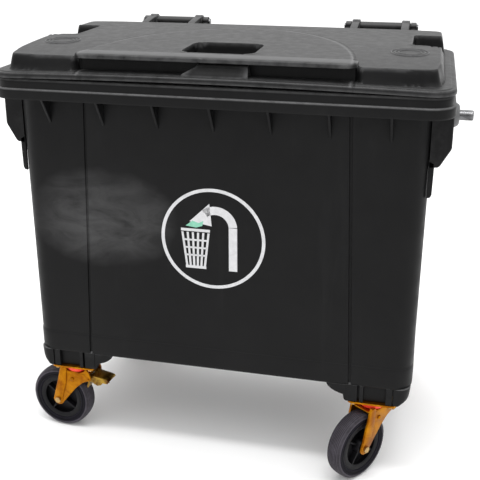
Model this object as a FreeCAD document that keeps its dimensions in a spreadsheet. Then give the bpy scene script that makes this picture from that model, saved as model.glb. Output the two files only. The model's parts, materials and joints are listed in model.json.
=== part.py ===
"""Four-wheeled 660 litre waste container: tub, flap lid, trunnions, rear handles and swivel casters.

Millimetres, +Z up, +X to the container's right-hand side, front towards -Y.
The origin is on the ground, under the middle of the container's bounding box.
"""
import FreeCAD, Part
import math
import os
import Sketcher

Vector = FreeCAD.Vector
X_DIR, Y_DIR, Z_DIR = Vector(1, 0, 0), Vector(0, 1, 0), Vector(0, 0, 1)

DIMENSIONS = {
    # tub, measured outside
    "floor_z": 287, "rim_low_z": 1085, "rim_step_z": 1114, "rim_top_z": 1141,
    "tub_half_low": 563, "tub_front_low": -328, "tub_rear_low": 252, "tub_round_low": 50,
    "tub_half_top": 574, "tub_front_top": -334, "tub_rear_top": 284, "tub_round_top": 60,
    "wall": 5, "rim_half": 627, "rim_front": -389, "rim_rear": 316, "rim_round": 70,
    "rim_step": 5, "rim_skin": 6, "gusset_pitch": 157, "gusset_drop": 66, "gusset_thick": 8,
    # casters
    "caster_x": 456, "caster_front_y": -278, "caster_rear_y": 186, "caster_top": 237,
    "plate_long": 137, "plate_short": 105, "plate_thick": 5, "bolt_long": 105, "bolt_short": 80,
    "bolt_radius": 5, "king_radius": 8, "trail": 62, "wheel_radius": 100, "tyre_half": 25,
    "axle_radius": 6, "leg_inside": 32, "leg_thick": 4, "crown_z": 204, "crown_thick": 6,
    "rim_radius": 72, "hub_radius": 20, "bearing_radius": 10, "spoke_thick": 5,
    "pedal_x": -48, "pedal_z": 190, "pedal_pin_radius": 4,
    # trunnions
    "trunnion_y": -18, "trunnion_z": 1019, "trunnion_radius": 15, "trunnion_tip": 685,
    "collar_radius": 36, "housing_low_z": 942, "housing_skin": 8,
    "housing_x": 624, "housing_half": 285, "collar_thick": 22,
    # lid
    "lid_low_z": 1146, "flange_z": 1157, "plateau_z": 1215, "wedge_z": 1220, "lid_skin": 5,
    "lid_half": 625, "lid_front": -387, "lid_rear": 314, "lid_round": 68,
    "plateau_half_low": 602, "plateau_front_low": -352, "plateau_rear_low": 290,
    "plateau_half_top": 590, "plateau_front_top": -338, "plateau_rear_top": 278,
    "recess_half": 380, "recess_depth_y": -309, "pocket_half": 104, "pocket_floor_z": 1172,
    "pocket_front": -312, "pocket_rear": -96, "notch_inner": 478, "notch_front": -38, "notch_rear": 168,
    # hinge and rear handles
    "hinge_y": 394.2, "hinge_z": 1210, "handle_x": 353, "handle_shift": 34, "handle_half": 116, "bar_radius": 15,
    "rod_radius": 6, "bracket_thick": 20, "lug_offset": 81, "lug_thick": 26, "lug_radius": 22,
    "bush_radius": 18,
    # drain
    "drain_x": 0, "drain_y": -41, "drain_radius": 25,
}

CASTERS = {
    # name: (side of the container, front or rear, heading of the trailing wheel in degrees, braked)
    "front_left": (-1, "caster_front_y", 173.0, True),
    "front_right": (1, "caster_front_y", 232.0, True),
    "rear_left": (-1, "caster_rear_y", 40.0, False),
    "rear_right": (1, "caster_rear_y", 75.0, False),
}


class Size:
    """A number together with the spreadsheet expression that gives it."""

    def __init__(self, number, text):
        self.number = float(number)
        self.text = text

    def join(self, other, sign, number):
        text = other.text if isinstance(other, Size) else repr(float(other))
        return Size(number, "(%s %s %s)" % (self.text, sign, text))

    def __add__(self, other):
        return self.join(other, "+", self.number + plain(other))

    def __sub__(self, other):
        return self.join(other, "-", self.number - plain(other))

    def __mul__(self, other):
        return self.join(other, "*", self.number * plain(other))

    def __truediv__(self, other):
        return self.join(other, "/", self.number / plain(other))

    def __neg__(self):
        return self * -1

    __radd__ = __add__
    __rmul__ = __mul__


def plain(value):
    """The number behind a Size, or the number itself."""
    return value.number if isinstance(value, Size) else float(value)


doc = FreeCAD.newDocument("WasteContainer")
sheet = doc.addObject("Spreadsheet::Sheet", "Dims")
for row, (alias, value) in enumerate(DIMENSIONS.items(), start=1):
    sheet.set("A%d" % row, alias)
    sheet.set("B%d" % row, str(value))
    sheet.setAlias("B%d" % row, alias)
doc.recompute()
NODES = []


def dim(alias):
    """A driving dimension as a Size bound to its spreadsheet cell."""
    return Size(DIMENSIONS[alias], "Dims." + alias)


def bind(thing, path, value):
    """Set a property to a number, or tie it to the sheet when the value is a Size."""
    if isinstance(value, Size):
        thing.setExpression(path, value.text)
    else:
        setattr(thing, path, value)


def node(thing, label, placement=None):
    """Name a finished sub-part and put it in its place."""
    thing.Label = label
    if placement is not None:
        thing.Placement = placement.multiply(thing.Placement)
    NODES.append(thing)
    return thing


# ---------------------------------------------------------------- sketches and features

def sketch_on(body, role, offset=0):
    """An empty sketch on one of the body's own planes, moved along the plane's normal."""
    plane = [part for part in body.Origin.OriginFeatures if part.Role == role][0]
    sketch = body.newObject("Sketcher::SketchObject", "Sketch")
    sketch.AttachmentSupport = [(plane, "")]
    sketch.MapMode = "FlatFace"
    if isinstance(offset, Size):
        sketch.setExpression("AttachmentOffset.Base.z", offset.text)
    sketch.AttachmentOffset = FreeCAD.Placement(Vector(0, 0, plain(offset)), FreeCAD.Rotation())
    return sketch


def pin_point(sketch, geometry, end, point):
    """Fix one end of a sketch element at a point whose coordinates may be Sizes."""
    for kind, value in zip(("DistanceX", "DistanceY"), point):
        index = sketch.addConstraint(Sketcher.Constraint(kind, -1, 1, geometry, end, plain(value)))
        if isinstance(value, Size):
            sketch.setExpression("Constraints[%d]" % index, value.text)


def set_radius(sketch, geometry, radius):
    index = sketch.addConstraint(Sketcher.Constraint("Radius", geometry, plain(radius)))
    if isinstance(radius, Size):
        sketch.setExpression("Constraints[%d]" % index, radius.text)


def polygon(sketch, points):
    """A closed outline of straight edges."""
    first = sketch.GeometryCount
    corners = [Vector(plain(x), plain(y), 0) for x, y in points]
    count = len(corners)
    for index in range(count):
        edge = Part.LineSegment(corners[index], corners[(index + 1) % count])
        sketch.addGeometry(edge, False)
    for index in range(count):
        following = first + (index + 1) % count
        sketch.addConstraint(Sketcher.Constraint("Coincident", first + index, 2, following, 1))
    for index, point in enumerate(points):
        pin_point(sketch, first + index, 1, point)


def box_outline(sketch, left, right, low, high):
    polygon(sketch, [(left, low), (right, low), (right, high), (left, high)])


def rounded(sketch, left, right, low, high, radius):
    """A closed rectangle with four round corners."""
    first = sketch.GeometryCount
    ends = [
        ((left + radius, low), (right - radius, low)),
        ((right, low + radius), (right, high - radius)),
        ((right - radius, high), (left + radius, high)),
        ((left, high - radius), (left, low + radius)),
    ]
    middles = [(right - radius, low + radius), (right - radius, high - radius),
               (left + radius, high - radius), (left + radius, low + radius)]
    for start, stop in ends:
        begin = Vector(plain(start[0]), plain(start[1]), 0)
        finish = Vector(plain(stop[0]), plain(stop[1]), 0)
        sketch.addGeometry(Part.LineSegment(begin, finish), False)
    for turn, middle in enumerate(middles):
        centre = Vector(plain(middle[0]), plain(middle[1]), 0)
        begin = (turn - 1) * math.pi / 2
        circle = Part.Circle(centre, Z_DIR, plain(radius))
        sketch.addGeometry(Part.ArcOfCircle(circle, begin, begin + math.pi / 2), False)
    for turn in range(4):
        line, arc, following = first + turn, first + 4 + turn, first + (turn + 1) % 4
        sketch.addConstraint(Sketcher.Constraint("Coincident", line, 2, arc, 1))
        sketch.addConstraint(Sketcher.Constraint("Coincident", arc, 2, following, 1))
        pin_point(sketch, line, 1, ends[turn][0])
        pin_point(sketch, line, 2, ends[turn][1])
        set_radius(sketch, arc, radius)


def ring(sketch, centre, *radii):
    """Circles round one centre."""
    for radius in radii:
        middle = Vector(plain(centre[0]), plain(centre[1]), 0)
        index = sketch.addGeometry(Part.Circle(middle, Z_DIR, plain(radius)), False)
        pin_point(sketch, index, 3, centre)
        set_radius(sketch, index, radius)


def extrude(body, kind, sketch, length, symmetric=False, reverse=False):
    """A Pad or Pocket, whose effect on the body's volume is checked."""
    doc.recompute()
    before = body.Shape.Volume if body.Tip and not body.Shape.isNull() else 0.0
    feature = body.newObject("PartDesign::" + kind, kind)
    feature.Profile = sketch
    feature.SideType = "Symmetric" if symmetric else "One side"
    feature.Reversed = reverse
    bind(feature, "Length", length)
    doc.recompute()
    change = body.Shape.Volume - before
    if (kind == "Pad") != (change > 1.0) or abs(change) < 1.0:
        raise RuntimeError("%s in %s changed the volume by %.2f" % (kind, body.Label, change))
    return feature


def loft(body, kind, *sketches):
    feature = body.newObject("PartDesign::" + kind, kind)
    feature.Profile = sketches[0]
    feature.Sections = list(sketches[1:])
    feature.Ruled = True
    return feature


def revolve(body, sketch, axis):
    """A full turn of a closed outline round one of the sketch's axes."""
    feature = body.newObject("PartDesign::Revolution", "Revolution")
    feature.Profile = sketch
    feature.ReferenceAxis = (sketch, [axis])
    feature.Angle = 360
    return feature


def axis_of(body, role):
    return [part for part in body.Origin.OriginFeatures if part.Role == role][0]


def new_body(label):
    body = doc.addObject("PartDesign::Body", "Body")
    body.Label = label
    return body


# ---------------------------------------------------------------- simple pieces

def rod(direction, start, length, radius, hole=0):
    """A round bar or tube that starts at a point and runs along X, Y or Z."""
    turn = FreeCAD.Rotation(Z_DIR, direction)
    bar = doc.addObject("Part::Cylinder", "Rod")
    bind(bar, "Radius", radius)
    bind(bar, "Height", length)
    bar.Placement = FreeCAD.Placement(Vector(*[plain(value) for value in start]), turn)
    if not plain(hole):
        return bar
    bore = doc.addObject("Part::Cylinder", "Bore")
    bind(bore, "Radius", hole)
    bind(bore, "Height", length)
    bore.Placement = bar.Placement
    return cut(bar, bore)


def block(low, high):
    """A box between two corners."""
    piece = doc.addObject("Part::Box", "Block")
    for path, start, stop in zip(("Length", "Width", "Height"), low, high):
        bind(piece, path, stop - start)
    piece.Placement.Base = Vector(*[plain(value) for value in low])
    return piece


def hexagon(direction, start, length, across):
    """A hexagonal bolt head or nut."""
    prism = doc.addObject("Part::Prism", "Hexagon")
    prism.Polygon = 6
    bind(prism, "Circumradius", across / math.sqrt(3))
    bind(prism, "Height", length)
    base = Vector(*[plain(value) for value in start])
    prism.Placement = FreeCAD.Placement(base, FreeCAD.Rotation(Z_DIR, direction))
    return prism


def cut(base, tool):
    piece = doc.addObject("Part::Cut", "Cut")
    piece.Base = base
    piece.Tool = tool
    return piece


def fuse(*pieces):
    piece = doc.addObject("Part::MultiFuse", "Fuse")
    piece.Shapes = list(pieces)
    piece.Refine = True
    return piece


def group(label, master, places):
    """Copies of one fastener, as separate solids of one sub-part."""
    doc.recompute()
    copies = []
    for place in places:
        shape = master.Shape.copy()
        shape.Placement = place.multiply(shape.Placement)
        copies.append(shape)
    piece = doc.addObject("Part::Feature", "Group")
    piece.Shape = Part.makeCompound(copies)
    return node(piece, label)


def shifted(x, y, z, angle=0.0):
    return FreeCAD.Placement(Vector(plain(x), plain(y), plain(z)), FreeCAD.Rotation(Z_DIR, angle))


# ---------------------------------------------------------------- tub

def tub_section(body, z, part_of_height, inset, round_less):
    """One rounded section of the tapered tub wall."""
    low, top = 1.0 - part_of_height, part_of_height
    half = dim("tub_half_low") * low + dim("tub_half_top") * top - inset
    front = dim("tub_front_low") * low + dim("tub_front_top") * top + inset
    rear = dim("tub_rear_low") * low + dim("tub_rear_top") * top - inset
    radius = dim("tub_round_low") * low + dim("tub_round_top") * top - round_less
    sketch = sketch_on(body, "XY_Plane", z)
    rounded(sketch, -half, half, front, rear, radius)
    return sketch


def rim_outline(sketch, inset):
    rounded(sketch, -dim("rim_half") + inset, dim("rim_half") - inset, dim("rim_front") + inset,
            dim("rim_rear") - inset, dim("rim_round") - inset)


def caster_spots():
    """Name, X and Y of each caster's swivel axis."""
    return [(name, dim("caster_x") * side, dim(row)) for name, (side, row, _, _) in CASTERS.items()]


def make_tub():
    body = new_body("tub")
    floor_z, top_z = dim("floor_z"), dim("rim_top_z")
    wall = dim("wall")
    loft(body, "AdditiveLoft", tub_section(body, floor_z, 0, 0, 0), tub_section(body, top_z, 1, 0, 0))

    lower_band = sketch_on(body, "XY_Plane", dim("rim_low_z"))
    rim_outline(lower_band, 0)
    extrude(body, "Pad", lower_band, dim("rim_step_z") - dim("rim_low_z"))
    upper_band = sketch_on(body, "XY_Plane", dim("rim_step_z"))
    rim_outline(upper_band, dim("rim_step"))
    extrude(body, "Pad", upper_band, top_z - dim("rim_step_z"))

    under_rim = sketch_on(body, "XY_Plane", dim("rim_low_z"))
    rim_outline(under_rim, dim("rim_step") + dim("rim_skin"))
    rounded(under_rim, -dim("tub_half_top") - 1, dim("tub_half_top") + 1, dim("tub_front_top") - 1,
            dim("tub_rear_top") + 1, dim("tub_round_top"))
    extrude(body, "Pocket", under_rim, top_z - dim("rim_low_z") - dim("rim_skin"), reverse=True)

    add_gussets(body)
    add_housings(body)
    add_pods(body)
    add_brackets(body)

    inside_low = tub_section(body, floor_z + wall, 0, wall, 4)
    inside_top = tub_section(body, top_z + 1, 1, wall, 4)
    loft(body, "SubtractiveLoft", inside_low, inside_top)
    cut_bores(body)
    return node(body, "tub")


def add_gussets(body):
    """Triangular webs under the rim, along the front and the rear wall."""
    first_x = dim("gusset_pitch") * -3
    webs = sketch_on(body, "YZ_Plane", first_x)
    high = dim("rim_step_z")
    low = dim("rim_low_z") - dim("gusset_drop")
    for wall_y, lip_y in (("tub_front_top", "rim_front"), ("tub_rear_top", "rim_rear")):
        outward = -1 if wall_y == "tub_front_top" else 1
        root = dim(wall_y) - outward * 6
        lip = dim(lip_y) - outward * 3
        foot = dim(wall_y) - outward * 0.5
        polygon(webs, [(root, high), (lip, high), (lip, dim("rim_low_z") + 4), (foot, low), (root, low)])
    pad = extrude(body, "Pad", webs, dim("gusset_thick"), symmetric=True)
    pattern = body.newObject("PartDesign::LinearPattern", "Gussets")
    pattern.Originals = [pad]
    pattern.Direction = (axis_of(body, "X_Axis"), [""])
    pattern.setExpression("Length", (dim("gusset_pitch") * 6).text)
    pattern.Occurrences = 7
    body.Tip = pattern
    doc.recompute()


def add_housings(body):
    """Long hollow wings under the rim at both sides, webbed inside, that carry the lifting trunnions."""
    middle, half = dim("trunnion_y"), dim("housing_half")
    outer, skin = dim("housing_x"), dim("housing_skin")
    root, top, foot = dim("tub_half_top") - 5, dim("rim_step_z"), dim("housing_low_z")
    outline = [(root, top), (outer, top), (outer, foot + 50), (root + 14, foot), (root, foot)]
    shell = sketch_on(body, "XZ_Plane", -middle)
    inside = sketch_on(body, "XZ_Plane", -middle)
    for side in (-1, 1):
        polygon(shell, [(x * side, z) for x, z in outline])
        box_outline(inside, (root + 9) * side, (outer - skin) * side, foot - 10, top - 12)
    extrude(body, "Pad", shell, half * 2, symmetric=True)
    extrude(body, "Pocket", inside, half * 2 - skin * 2, symmetric=True)
    for offset in (-70, 70):
        web = sketch_on(body, "XZ_Plane", -(middle + offset))
        for side in (-1, 1):
            polygon(web, [(x * side, z) for x, z in outline])
        extrude(body, "Pad", web, skin, symmetric=True)
    for end in (-1, 1):
        rib = sketch_on(body, "XZ_Plane", -(middle + (half - skin / 2) * end))
        for side in (-1, 1):
            points = [(root, foot + 4), (root + 14, foot + 4), (root + 10, foot - 88), (root - 2, foot - 94)]
            polygon(rib, [(x * side, z) for x, z in points])
        extrude(body, "Pad", rib, skin, symmetric=True)
    tab = sketch_on(body, "XZ_Plane", -middle)
    low = dim("trunnion_z") - 57
    for side in (-1, 1):
        box_outline(tab, (outer - 4) * side, (outer + 8) * side, low, low + 20)
    extrude(body, "Pad", tab, Size(56, "56"), symmetric=True)


def add_pods(body):
    """Caster pods under the four corners, each with a knee towards the middle of the tub."""
    low, high = dim("caster_top"), dim("floor_z") + 2
    for row in ("caster_front_y", "caster_rear_y"):
        pods = sketch_on(body, "XZ_Plane", -dim(row))
        middle = dim("caster_x")
        for side in (-1, 1):
            points = [(middle + 92, high), (middle + 84, low), (middle - 70, low), (middle - 82, low + 13),
                      (middle - 102, low + 24), (middle - 126, high)]
            polygon(pods, [(x * side, z) for x, z in points])
        extrude(body, "Pad", pods, dim("plate_short"), symmetric=True)


def add_brackets(body):
    """Upright brackets behind the rim that hold the ends of the two hinge rods."""
    y, z = dim("hinge_y"), dim("hinge_z")
    rear = dim("rim_rear")
    for side in (-1, 1):
        for end in (-1, 1):
            x = dim("handle_x") * side + dim("handle_shift") + (dim("handle_half") - dim("bracket_thick") / 2) * end
            profile = sketch_on(body, "YZ_Plane", x)
            polygon(profile, [(rear - 8, dim("rim_low_z") + 2), (rear + 8, dim("rim_low_z") + 2),
                              (rear + 46, dim("rim_top_z") + 6), (y + 16, z - 6), (y + 16, z + 9),
                              (y + 9, z + 16), (y - 9, z + 16), (y - 16, z + 9), (y - 16, z - 14),
                              (rear + 16, dim("rim_top_z") - 2), (rear - 8, dim("rim_top_z") - 2)])
            extrude(body, "Pad", profile, dim("bracket_thick"), symmetric=True)


def cut_bores(body):
    """Bores for the caster bolts, trunnions, hinge rods and drain plug."""
    bolts = sketch_on(body, "XY_Plane", dim("caster_top"))
    for _, x, y in caster_spots():
        for dx in (-1, 1):
            for dy in (-1, 1):
                centre = (x + dim("bolt_long") / 2 * dx, y + dim("bolt_short") / 2 * dy)
                ring(bolts, centre, dim("bolt_radius") + 4)
    extrude(body, "Pocket", bolts, 34, reverse=True)
    for side in (-1, 1):
        trunnion = sketch_on(body, "YZ_Plane", (dim("housing_x") + 5) * side)
        ring(trunnion, (dim("trunnion_y"), dim("trunnion_z")), dim("trunnion_radius") - 0.95)
        extrude(body, "Pocket", trunnion, dim("housing_skin") + 9, reverse=(side < 0))
        hinge = sketch_on(body, "YZ_Plane", dim("handle_x") * side + dim("handle_shift"))
        ring(hinge, (dim("hinge_y"), dim("hinge_z")), dim("rod_radius") + 0.05)
        extrude(body, "Pocket", hinge, dim("handle_half") * 2 + 4, symmetric=True)
    drain = sketch_on(body, "XY_Plane", dim("floor_z") - 5)
    ring(drain, (dim("drain_x"), dim("drain_y")), dim("drain_radius"))
    extrude(body, "Pocket", drain, 30, reverse=True)


# ---------------------------------------------------------------- lid

def make_lid():
    body = new_body("lid")
    low, flange, top = dim("lid_low_z"), dim("flange_z"), dim("plateau_z")
    plate = sketch_on(body, "XY_Plane", low)
    rounded(plate, -dim("lid_half"), dim("lid_half"), dim("lid_front"), dim("lid_rear"), dim("lid_round"))
    extrude(body, "Pad", plate, flange - low)
    loft(body, "AdditiveLoft", plateau_section(body, flange - 1, "low", 0),
         plateau_section(body, top, "top", 0))
    doc.recompute()
    wedge = sketch_on(body, "XY_Plane", top - 2)
    half = dim("recess_half") - 2
    polygon(wedge, [(-half, dim("plateau_front_top")), (half, dim("plateau_front_top")),
                    (half - 20, -24), (half - 110, 121), (120, 176), (-120, 176),
                    (-(half - 110), 121), (-(half - 20), -24)])
    extrude(body, "Pad", wedge, dim("wedge_z") - top + 2)
    loft(body, "SubtractiveLoft", plateau_section(body, low - 1, "low", dim("lid_skin") + 12),
         plateau_section(body, top - dim("lid_skin"), "top", dim("lid_skin")))
    doc.recompute()
    add_lid_walls(body)
    cut_lid_recesses(body)
    add_lugs(body)
    return node(body, "lid")


def plateau_section(body, z, level, inset):
    sketch = sketch_on(body, "XY_Plane", z)
    half = dim("plateau_half_" + level) - inset
    rounded(sketch, -half, half, dim("plateau_front_" + level) + inset,
            dim("plateau_rear_" + level) - inset, Size(60, "60"))
    return sketch


def add_lid_walls(body):
    """Solid surrounds, inside the hollow lid, for the recesses cut from above."""
    top = dim("plateau_z") - dim("lid_skin") + 1
    skin = dim("lid_skin")
    pocket_low = dim("pocket_floor_z") - skin
    surrounds = sketch_on(body, "XY_Plane", pocket_low)
    box_outline(surrounds, -dim("pocket_half") - skin, dim("pocket_half") + skin,
                dim("pocket_front") - skin - 10, dim("pocket_rear") + skin)
    for side in (-1, 1):
        box_outline(surrounds, (dim("notch_inner") - skin) * side, (dim("plateau_half_top") - 2) * side,
                    dim("notch_front") - skin, dim("notch_rear") + skin)
    extrude(body, "Pad", surrounds, top - pocket_low)
    front = sketch_on(body, "XY_Plane", dim("flange_z") - 1)
    box_outline(front, -dim("recess_half") - 30, dim("recess_half") + 30, dim("plateau_front_low") + 12,
                dim("recess_depth_y") + skin)
    extrude(body, "Pad", front, top - dim("flange_z") + 1)


def cut_lid_recesses(body):
    """Finger pocket, side notches and the long front recess under its overhanging lip."""
    above = dim("wedge_z") + 5
    pocket = sketch_on(body, "XY_Plane", above)
    rounded(pocket, -dim("pocket_half"), dim("pocket_half"), dim("pocket_front"), dim("pocket_rear"),
            Size(22, "22"))
    for side in (-1, 1):
        box_outline(pocket, dim("notch_inner") * side, (dim("plateau_half_low") + 10) * side,
                    dim("notch_front"), dim("notch_rear"))
    extrude(body, "Pocket", pocket, above - dim("pocket_floor_z"))
    recess = sketch_on(body, "XY_Plane", dim("flange_z"))
    half, grip, ahead = dim("recess_half"), 90, dim("lid_front") - 8
    polygon(recess, [(-half - 22, ahead), (-grip, ahead), (-grip, dim("recess_depth_y")),
                     (-(half - 18), dim("recess_depth_y"))])
    polygon(recess, [(grip, ahead), (half + 22, ahead), (half - 18, dim("recess_depth_y")),
                     (grip, dim("recess_depth_y"))])
    extrude(body, "Pocket", recess, dim("plateau_z") - dim("flange_z") - 9, reverse=True)
    over_grip = sketch_on(body, "XY_Plane", dim("flange_z") + 38)
    box_outline(over_grip, Size(-91, "-91"), Size(91, "91"), ahead, dim("recess_depth_y"))
    extrude(body, "Pocket", over_grip, dim("plateau_z") - dim("flange_z") - 47, reverse=True)


def add_lugs(body):
    """Arms from the rear of the lid that wrap round the handle bars."""
    y, z = dim("hinge_y"), dim("hinge_z")
    for side in (-1, 1):
        for end in (-1, 1):
            x = dim("handle_x") * side + dim("handle_shift") + dim("lug_offset") * end
            arm = sketch_on(body, "YZ_Plane", x)
            polygon(arm, [(dim("lid_rear") - 34, dim("lid_low_z") + 3), (dim("lid_rear") - 2, dim("lid_low_z") + 3),
                          (y - 6, z - 22), (y, z), (y - 4, z + 22), (dim("lid_rear") - 40, dim("plateau_z") - 3)])
            extrude(body, "Pad", arm, dim("lug_thick"), symmetric=True)
            eye = sketch_on(body, "YZ_Plane", x)
            ring(eye, (y, z), dim("lug_radius"))
            extrude(body, "Pad", eye, dim("lug_thick"), symmetric=True)
        bore = sketch_on(body, "YZ_Plane", dim("handle_x") * side + dim("handle_shift"))
        ring(bore, (y, z), dim("bush_radius"))
        extrude(body, "Pocket", bore, dim("handle_half") * 2, symmetric=True)


# ---------------------------------------------------------------- handles, hinge and trunnions

def make_handles():
    """Two handle bars on steel rods, with a bush in each lug of the lid."""
    y, z = dim("hinge_y"), dim("hinge_z")
    between = dim("handle_half") - dim("bracket_thick") - 0.5
    bushes = []
    for side, word in ((-1, "left"), (1, "right")):
        middle = dim("handle_x") * side + dim("handle_shift")
        bar = rod(X_DIR, (middle - between, y, z), between * 2, dim("bar_radius"), dim("rod_radius") + 0.05)
        node(bar, "handle_bar_" + word)
        reach = dim("handle_half") + 4
        shank = rod(X_DIR, (middle - reach, y, z), reach * 2, dim("rod_radius"))
        head = rod(X_DIR, (middle + dim("handle_half") + 0.2, y, z), 5, dim("rod_radius") + 4)
        clip = rod(X_DIR, (middle - reach - 0.5, y, z), 4, dim("rod_radius") + 3)
        node(fuse(shank, head, clip), "hinge_rod_" + word)
        for end in (-1, 1):
            bushes.append(plain(middle) + plain(dim("lug_offset")) * end)
    start = -dim("lug_thick") / 2
    bush = rod(X_DIR, (start, y, z), dim("lug_thick"), dim("bush_radius"), dim("bar_radius") + 0.08)
    group("hinge_bushes", bush, [shifted(x, 0, 0) for x in bushes])


def make_trunnions():
    """Steel lifting pins with their collars, one on each side."""
    y, z = dim("trunnion_y"), dim("trunnion_z")
    face, tip = dim("housing_x"), dim("trunnion_tip")
    shoulder = face + dim("collar_thick")
    for turn, word in ((180.0, "left"), (0.0, "right")):
        place = FreeCAD.Placement(Vector(0, plain(y), plain(z)), FreeCAD.Rotation(Z_DIR, turn))
        inner = face - dim("housing_skin")
        flange = rod(X_DIR, (inner - 7, 0, 0), 7, dim("trunnion_radius") + 8)
        root = rod(X_DIR, (inner - 2, 0, 0), shoulder - inner + 4, dim("trunnion_radius") - 1)
        journal = rod(X_DIR, (shoulder, 0, 0), tip - shoulder - 3, dim("trunnion_radius"))
        cone = doc.addObject("Part::Cone", "Tip")
        bind(cone, "Radius1", dim("trunnion_radius"))
        bind(cone, "Radius2", dim("trunnion_radius") - 2.5)
        cone.Height = 3
        cone.Placement = FreeCAD.Placement(Vector(plain(tip) - 3, 0, 0), FreeCAD.Rotation(Z_DIR, X_DIR))
        node(fuse(flange, root, journal, cone), "trunnion_pin_" + word, place)

        collar = new_body("collar")
        outline = sketch_on(collar, "YZ_Plane", face)
        ring(outline, (Size(0, "0"), Size(0, "0")), dim("collar_radius"), dim("trunnion_radius") - 0.95)
        extrude(collar, "Pad", outline, dim("collar_thick"))
        node(collar, "trunnion_collar_" + word, place)


def make_drain():
    x, y, z = dim("drain_x"), dim("drain_y"), dim("floor_z")
    radius = dim("drain_radius")
    seal = rod(Z_DIR, (x, y, z - 3), 3, radius + 8, radius + 0.3)
    node(seal, "drain_seal")
    stem = rod(Z_DIR, (x, y, z - 10), 22, radius - 0.3)
    flange = rod(Z_DIR, (x, y, z - 10), 6.9, radius + 10)
    grip = block((x - 22, y - 4, z - 26), (x + 22, y + 4, z - 9))
    node(fuse(stem, flange, grip), "drain_plug")


# ---------------------------------------------------------------- casters

def make_fork(label, place):
    """Pressed steel fork: a crown plate and two legs that taper to the axle."""
    body = new_body("fork")
    inside, thick = dim("leg_inside"), dim("leg_thick")
    width = (inside + thick) * 2
    crown = sketch_on(body, "XY_Plane", dim("crown_z"))
    rounded(crown, Size(-52, "-52"), Size(46, "46"), -width / 2, width / 2, Size(10, "10"))
    extrude(body, "Pad", crown, dim("crown_thick"))
    trail, radius = dim("trail"), dim("wheel_radius")
    high = dim("crown_z") + 1
    legs = sketch_on(body, "XZ_Plane")
    polygon(legs, [(Size(44, "44"), high), (Size(-58, "-58"), high), (Size(-58, "-58"), dim("pedal_z") - 9),
                   (Size(-30, "-30"), dim("pedal_z") - 14), (trail - 19, radius + 14), (trail - 15, radius - 12),
                   (trail - 6, radius - 18), (trail + 6, radius - 18), (trail + 15, radius - 12),
                   (trail + 17, radius)])
    extrude(body, "Pad", legs, width, symmetric=True)
    gap = sketch_on(body, "XZ_Plane")
    box_outline(gap, Size(-80, "-80"), trail + 40, radius - 60, dim("crown_z"))
    extrude(body, "Pocket", gap, inside * 2, symmetric=True)
    bores = sketch_on(body, "XZ_Plane")
    ring(bores, (trail, radius), dim("axle_radius") + 0.05)
    ring(bores, (dim("pedal_x"), dim("pedal_z")), dim("pedal_pin_radius") + 0.05)
    extrude(body, "Pocket", bores, width + 2, symmetric=True)
    swivel = sketch_on(body, "XY_Plane", dim("crown_z") + dim("crown_thick"))
    ring(swivel, (Size(0, "0"), Size(0, "0")), dim("king_radius") + 0.4)
    extrude(body, "Pocket", swivel, dim("crown_thick") + 1)
    node(body, label, place)


def make_wheel(name, place):
    """Spoked wheel centre, its bearing sleeve and the solid rubber tyre."""
    trail, radius = dim("trail"), dim("wheel_radius")
    hub = place.multiply(shifted(trail, 0, radius))
    core = new_body("core")
    half = dim("tyre_half")
    profile = sketch_on(core, "YZ_Plane")
    outer, inner = dim("rim_radius"), dim("rim_radius") - 6
    box_outline(profile, -half + 3, half - 3, inner, outer)
    box_outline(profile, -half - 3, half + 3, dim("bearing_radius"), dim("hub_radius"))
    box_outline(profile, Size(-3, "-3"), Size(3, "3"), dim("hub_radius") - 1, inner + 1)
    revolve(core, profile, "H_Axis")
    spoke = sketch_on(core, "XZ_Plane")
    box_outline(spoke, -dim("spoke_thick") / 2, dim("spoke_thick") / 2, dim("hub_radius") - 1, inner + 1)
    pad = extrude(core, "Pad", spoke, half * 2 - 10, symmetric=True)
    spokes = core.newObject("PartDesign::PolarPattern", "Spokes")
    spokes.Originals = [pad]
    spokes.Axis = (axis_of(core, "Y_Axis"), [""])
    spokes.Angle = 360
    spokes.Occurrences = 4
    core.Tip = spokes
    leaning = FreeCAD.Placement(Vector(), FreeCAD.Rotation(Y_DIR, 35.0))
    node(core, "wheel_centre_" + name, hub.multiply(leaning))

    tyre = new_body("tyre")
    tread = sketch_on(tyre, "YZ_Plane")
    low, high = dim("rim_radius"), dim("wheel_radius")
    polygon(tread, [(-half + 2, low), (half - 2, low), (half, low + 6), (half, high - 10), (half - 4, high - 3),
                    (half - 12, high), (-half + 12, high), (-half + 4, high - 3), (-half, high - 10),
                    (-half, low + 6)])
    revolve(tyre, tread, "H_Axis")
    node(tyre, "tyre_" + name, hub)

    length = half * 2 + 12.4
    sleeve = rod(Y_DIR, (0, -length / 2, 0), length, dim("bearing_radius"), dim("axle_radius") + 0.05)
    node(sleeve, "wheel_bearing_" + name, hub)


def make_axle(name, place):
    trail, radius = dim("trail"), dim("wheel_radius")
    side = dim("leg_inside") + dim("leg_thick")
    shank = rod(Y_DIR, (trail, -side - 11, radius), side * 2 + 12, dim("axle_radius"))
    head = hexagon(Y_DIR, (trail, side, radius), 8, dim("axle_radius") * 3)
    node(fuse(shank, head), "axle_bolt_" + name, place)
    blank = hexagon(Y_DIR, (trail, -side - 9, radius), 9, dim("axle_radius") * 3.1)
    bore = rod(Y_DIR, (trail, -side - 10, radius), 11, dim("axle_radius"))
    node(cut(blank, bore), "axle_nut_" + name, place)


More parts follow.
